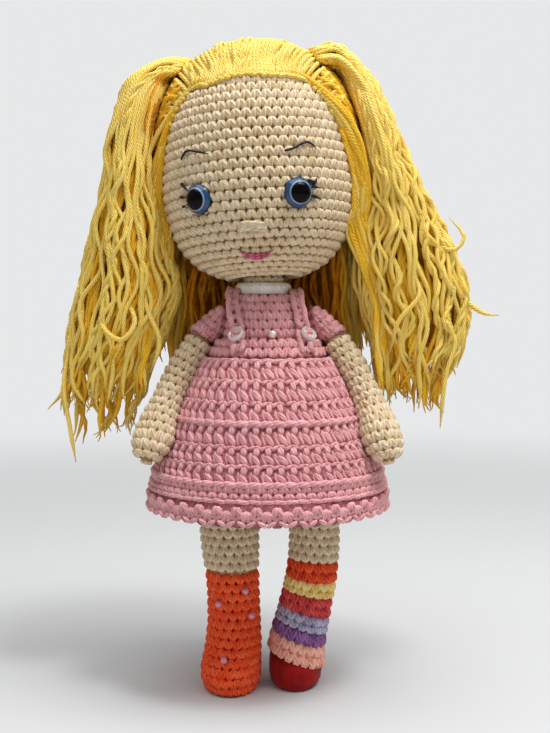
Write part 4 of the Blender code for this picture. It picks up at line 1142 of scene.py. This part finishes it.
# strands of the temples close the space between the sides and the back
for sign in (-1, 1):
    for layer in (0, 1):
        for k in range(15):
            s = max(0.0, min(1.0, (k + DICE.uniform(-0.4, 0.4)) / 14))
            spots = [
                on_cap(
                    88 + 58 * s + 8 * j + DICE.uniform(-3, 3), sign * (32 + (13 - 6 * s) * j),
                    DICE.uniform(-0.0016, 0.0004) + 0.0016 * layer,
                )
                for j in range(5)
            ]
            points = [spot for spot in spots if spot is not None]
            if len(points) < 2:
                continue
            x, y = NECK_PIVOT.x + sign * (0.0610 - 0.027 * s), 0.012 + 0.026 * s + 0.002 * layer
            for z in (0.205, 0.190, 0.170, 0.157, 0.143 + 0.010 * DICE.random()):
                points.append(Vector((x * (1.04 if z < 0.16 else 1.0), y, z)))
            line = [clear(point, 0.0004 + 0.001 * layer) for point in flow(points)]
            line = waved(line, (0.0012, 0.0024), BEHIND, 0.03)
            yarn(bm, line, twined=DICE.random() < 0.12)

# strands over the temples fill the parting between the crown and the sides, painted in shade
for sign in (-1, 1):
    for k in range(22):
        spots = [
            on_cap(26 + 2.2 * k + 1.5 * j, sign * (38 + 8 * j), DICE.uniform(-0.0034, -0.0020))
            for j in range(7)
        ]
        points = [spot for spot in spots if spot is not None]
        if len(points) > 3:
            yarn(bm, flow(points), slot=HAIR_IN_PAINTED_SHADE)

# the strands nearest the neck, seen under the chin in the shade of the rest, painted in deep shade near the
# middle and in shade further out
for layer, count in ((0, 44), (1, 26)):
    for k in range(count):
        x = 0.055 * ((k + 0.5) / count * 2 - 1)
        y = min(0.031, 0.004 + 1.2 * (0.061 - abs(x))) - 0.003 * layer
        points = []
        for z in (0.236, 0.224, 0.213, 0.204, 0.194, 0.184, 0.174, 0.164, 0.154, 0.146):
            hit = back_tree.ray_cast(Vector((NECK_PIVOT.x + x, 0, z)), BEHIND, 0.08)[0]
            y = min(y, hit.y - 0.0010 - 0.0016 * layer) if hit else y
            if z < 0.21:
                points.append(Vector((NECK_PIVOT.x + x, y, z)))
        line = waved(flow(points), (0.0006, 0.0016), FRONT, 0.0)
        yarn(bm, line, slot=HAIR_IN_DEEP_PAINTED_SHADE if abs(x) < 0.034 else HAIR_IN_PAINTED_SHADE)
finished("hair_crown", bm, HAIR, "head", ["hair_cap"] + BACK_LOCKS)

# Face
head_tree = BVHTree.FromBMesh(head_solid)
THREAD_STEP = 0.0006


def on_face(column, row, lift):
    """The place on the head that the photograph shows at a pixel."""
    way = LOOK @ Vector((column - PHOTO_WIDTH / 2, PHOTO_HEIGHT / 2 - row, -FOCAL_PIXELS)).normalized()
    hit, normal = head_tree.ray_cast(VIEWPOINT, way)[:2]
    return hit - way * (lift / max(0.5, -way.dot(normal)))


def stitched(name, threads, radius, paint, node, lift, taper=0.6):
    """Embroidery: threads laid over the stitches, each along a few pixels."""
    bm = started()
    for pixels in threads:
        line = flow([on_face(x, y, lift) for x, y in pixels], THREAD_STEP)
        strand(bm, line, radius, taper=taper, step=THREAD_STEP)
    finished(name, bm, [paint], "head", [node])


BLACK_THREAD = spun_yarn(
    "black_embroidery_thread", "#060505", "#15100f", "#2a2220", plies=2, sheen=0.1, rough=0.6
)
ROSE_THREAD = spun_yarn(
    "rose_embroidery_thread", "#8e3048", "#bb4f69", "#d97a90", plies=2, sheen=0.1, rough=0.45
)
NOSE_THREAD = spun_yarn("cream_embroidery_thread", "#c8ac86", "#e0cca8", "#ecdcc0", plies=2, sheen=0.2)
BROWS = {
    "left": [[(181, 160), (184, 153.5), (188.4, 150.6), (198.7, 152), (208.5, 153.8)]],
    "right": [[(284.5, 150.6), (294, 148), (302.8, 143), (308, 142), (313, 144.8), (316.5, 149.4)]],
}
LASHES = {
    "left": [
        [(181, 183), (183.5, 186.5), (187, 190.5)], [(182.5, 184), (185, 188), (188, 192)],
        [(180.6, 197.2), (183, 197.4), (186, 198)], [(183, 207), (185, 206), (187.5, 204.5)],
    ],
    "right": [
        [(308, 180), (312, 182.5), (315.5, 187)], [(310, 180), (314, 184), (316, 189)],
        [(313.5, 184), (315.6, 181), (317.4, 176.8)], [(312, 186), (316, 187), (321.6, 188.6)],
        [(313, 196), (317, 197.4), (322.6, 200.2)],
    ],
}
for side, sign in SIDES:
    for name, node, threads, radius, taper in (
        ("brow_thread_", "brow_", BROWS[side], 0.00050, 0.6),
        ("lash_thread_", "lashes_", LASHES[side], 0.00085, 0.3),
    ):
        stitched(name + side, threads, radius, BLACK_THREAD, node + side, 0.0021, taper)

nose = []
for k in range(4):
    inset = 2.4 - 0.8 * k
    row = 222.8 + 2.3 * k
    nose.append([
        (237.6 + inset, row + 1.0), (245, row), (252, row - 0.3), (259, row + 0.2),
        (268.0 - inset, row + 1.0),
    ])
stitched("nose_satin", nose, 0.00078, NOSE_THREAD, "nose", 0.0021, 0.8)
mouth = []
for k in range(6):
    fill = k / 5
    mouth.append([
        (240.0 + 1.8 * fill, 251.0 + 1.0 * fill), (246, 253.2 + 3.2 * fill), (256.5, 254.4 + 4.8 * fill),
        (267, 252.8 + 3.2 * fill), (273.8 - 1.8 * fill, 250.2 + 1.0 * fill),
    ])
stitched("mouth_satin", mouth, 0.00048, ROSE_THREAD, "mouth", 0.0017, 0.4)

# Eyes of moulded acrylic, hard and clear, so the colour lies under a wet gloss
WET = {"Coat Weight": 0.15, "Coat Roughness": 0.05}
EYE_PAINTS = [
    moulded("black_acrylic", "#020203", "#020203", 0.03, {"Specular IOR Level": 0.12}),
    moulded("blue_acrylic", "#15466e", "#15466e", 0.12, WET),
    moulded("deep_blue_acrylic", "#0c2846", "#0c2846", 0.15, WET),
    # a pale ring painted round the pupil as its reflection
    moulded("milky_acrylic", "#8091ac", "#8091ac", 0.14, WET),
]
PUPIL, IRIS, IRIS_RIM, REFLECTION_RING = range(4)
# radius and height of the eye's turned profile, with the paint of each band
EYE_PROFILE = (
    (0.0062, -0.0004, IRIS_RIM), (0.0062, 0.0008, IRIS_RIM), (0.0060, 0.0014, IRIS),
    (0.0052, 0.0022, IRIS), (0.0048, 0.0027, REFLECTION_RING), (0.0043, 0.0032, PUPIL),
    (0.0037, 0.0039, PUPIL), (0.0027, 0.0044, PUPIL), (0.0014, 0.0047, PUPIL), (0.0, 0.0048, PUPIL),
)
EYE_SIDES = 32
# a face's middle lies this share of the way out to its corners
FLAT_SHARE = 0.995
# each eye's distance from the face's middle and its height on the head
for side, sign, apart, height in (("left", -1, 0.0212, 0.0266), ("right", 1, 0.0188, 0.0263)):
    t = head_share(height)
    wide = on(HEAD_RINGS, t, math.pi / 2) - on(HEAD_RINGS, t, -math.pi / 2)
    place = seat(HEAD_RINGS, t, sign * math.asin(apart / (wide.length / 2)), 0.0004)
    bm = started()
    rim = [bm.verts.new((radius, 0, rise)) for radius, rise, paint in EYE_PROFILE]
    line = [bm.edges.new(pair) for pair in zip(rim, rim[1:])]
    bmesh.ops.spin(
        bm, geom=rim + line, cent=(0, 0, 0), axis=(0, 0, 1), angle=math.tau, steps=EYE_SIDES, use_merge=True
    )
    bmesh.ops.remove_doubles(bm, verts=bm.verts, dist=1e-6)
    bmesh.ops.holes_fill(bm, edges=[edge for edge in bm.edges if edge.is_boundary])
    bmesh.ops.recalc_face_normals(bm, faces=bm.faces)
    for face in bm.faces:
        middle = face.calc_center_median()
        far = math.hypot(middle.x, middle.y) / FLAT_SHARE
        for (outside, _, paint), (inside, _, _) in zip(EYE_PROFILE, EYE_PROFILE[1:]):
            if inside < far <= outside + 1e-5:
                face.material_index = paint
        face.smooth = True
    bmesh.ops.transform(bm, matrix=place, verts=bm.verts)
    finished("eye_dome_" + side, bm, EYE_PAINTS, "head", ["eye_" + side])

# Solids that keep their shape get a finish by what their name holds, the first that fits
CAD_FINISHES = (
    ("button_thread", spun_yarn("pink_sewing_thread", "#c06a74", "#dc8f97", "#f0b4b8", plies=2)),
    ("button", moulded(
        "clear_pearly_plastic", "#fbf1ef", "#f1e2e0", 0.07,
        {"Transmission Weight": 0.3, "IOR": 1.49, "Coat Weight": 1.0},
    )),
    ("bib_bead", moulded("pearl_lacquer", "#f2e6e2", "#dccac6", 0.16, {"Coat Weight": 0.8})),
    ("sock_bead", moulded(
        "pink_glass_bead", "#f2aab8", "#e690a4", 0.1, {"Transmission Weight": 0.2, "Coat Weight": 0.8}
    )),
    ("eye_washer", moulded("white_polyethylene", "#dcdcd6", "#c9c9c2", 0.45)),
    ("stuffing", packed_yarn("polyester_fibre", "#bdbdb8", "#ecece8")),
)
for name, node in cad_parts.items():
    paint = next((paint for part, paint in CAD_FINISHES if part in name), None)
    if paint:
        node.data.materials.clear()
        node.data.materials.append(paint)

# A wide paper floor that fades into the backdrop all round
BACKDROP = linear("#e7e8e9")
bm = bmesh.new()
bmesh.ops.create_circle(bm, cap_ends=True, cap_tris=True, segments=64, radius=9.0)
bmesh.ops.subdivide_edges(bm, edges=bm.edges[:], cuts=2, use_grid_fill=True)
paper, tree, shader = fresh("matt_paper")
where = add(tree, "ShaderNodeTexCoord")
far = add(tree, "ShaderNodeVectorMath", {0: where.outputs["Object"]}, operation="LENGTH")
fade = add(
    tree, "ShaderNodeMapRange",
    {"Value": far.outputs["Value"], "From Min": 0.30, "From Max": 1.1}, interpolation_type="SMOOTHSTEP",
)
seen = add(tree, "ShaderNodeLightPath")
plain = add(
    tree, "ShaderNodeMath", {0: fade.outputs["Result"], 1: seen.outputs["Is Camera Ray"]},
    operation="MULTIPLY",
)
glow = add(tree, "ShaderNodeEmission", {"Color": BACKDROP, "Strength": 1.0})
shader.inputs["Base Color"].default_value = linear("#cecfcf")
shader.inputs["Roughness"].default_value = 0.9
blend = add(tree, "ShaderNodeMixShader", {0: plain.outputs[0], 1: shader.outputs[0], 2: glow.outputs[0]})
tree.links.new(blend.outputs[0], tree.nodes["Material Output"].inputs["Surface"])
mesh = mesh_of(bm, "paper_floor")
mesh.materials.append(paper)
thing("paper_floor", mesh)

# Soft lamps: place, what each is aimed at, size and power
for name, place, aim, size, power in (
    ("window", (0.42, -0.22, 1.02), (0, 0, 0.12), 0.6, 5.5),
    ("ceiling", (-0.05, -0.15, 1.35), (0, 0, 0.12), 1.4, 11),
    ("bulb", (0.22, -0.30, 1.05), (0, 0, 0.2), 0.18, 2.4),
):
    light = bpy.data.lights.new(name, "AREA")
    light.shape = "DISK"
    light.size = size
    light.energy = power
    lamp = thing(name, light)
    lamp.location = place
    lamp.rotation_euler = (Vector(aim) - Vector(place)).to_track_quat("-Z", "Y").to_euler()

# The room lights the doll softly, and is the pale backdrop where it is seen
world = bpy.data.worlds.new("soft_room")
world.use_nodes = True
tree = world.node_tree
room = tree.nodes["Background"]
room.inputs["Color"].default_value = linear("#f2f4f6")
room.inputs["Strength"].default_value = 0.40
seen = add(tree, "ShaderNodeLightPath")
wall = add(tree, "ShaderNodeBackground", {"Color": BACKDROP, "Strength": 1.0})
either = add(
    tree, "ShaderNodeMath", {0: seen.outputs["Is Camera Ray"], 1: seen.outputs["Is Transmission Ray"]},
    operation="MAXIMUM",
)
blend = add(tree, "ShaderNodeMixShader", {0: either.outputs[0], 1: room.outputs[0], 2: wall.outputs[0]})
tree.links.new(blend.outputs[0], tree.nodes["World Output"].inputs["Surface"])
bpy.context.scene.world = world
bpy.context.scene.view_settings.view_transform = "Standard"
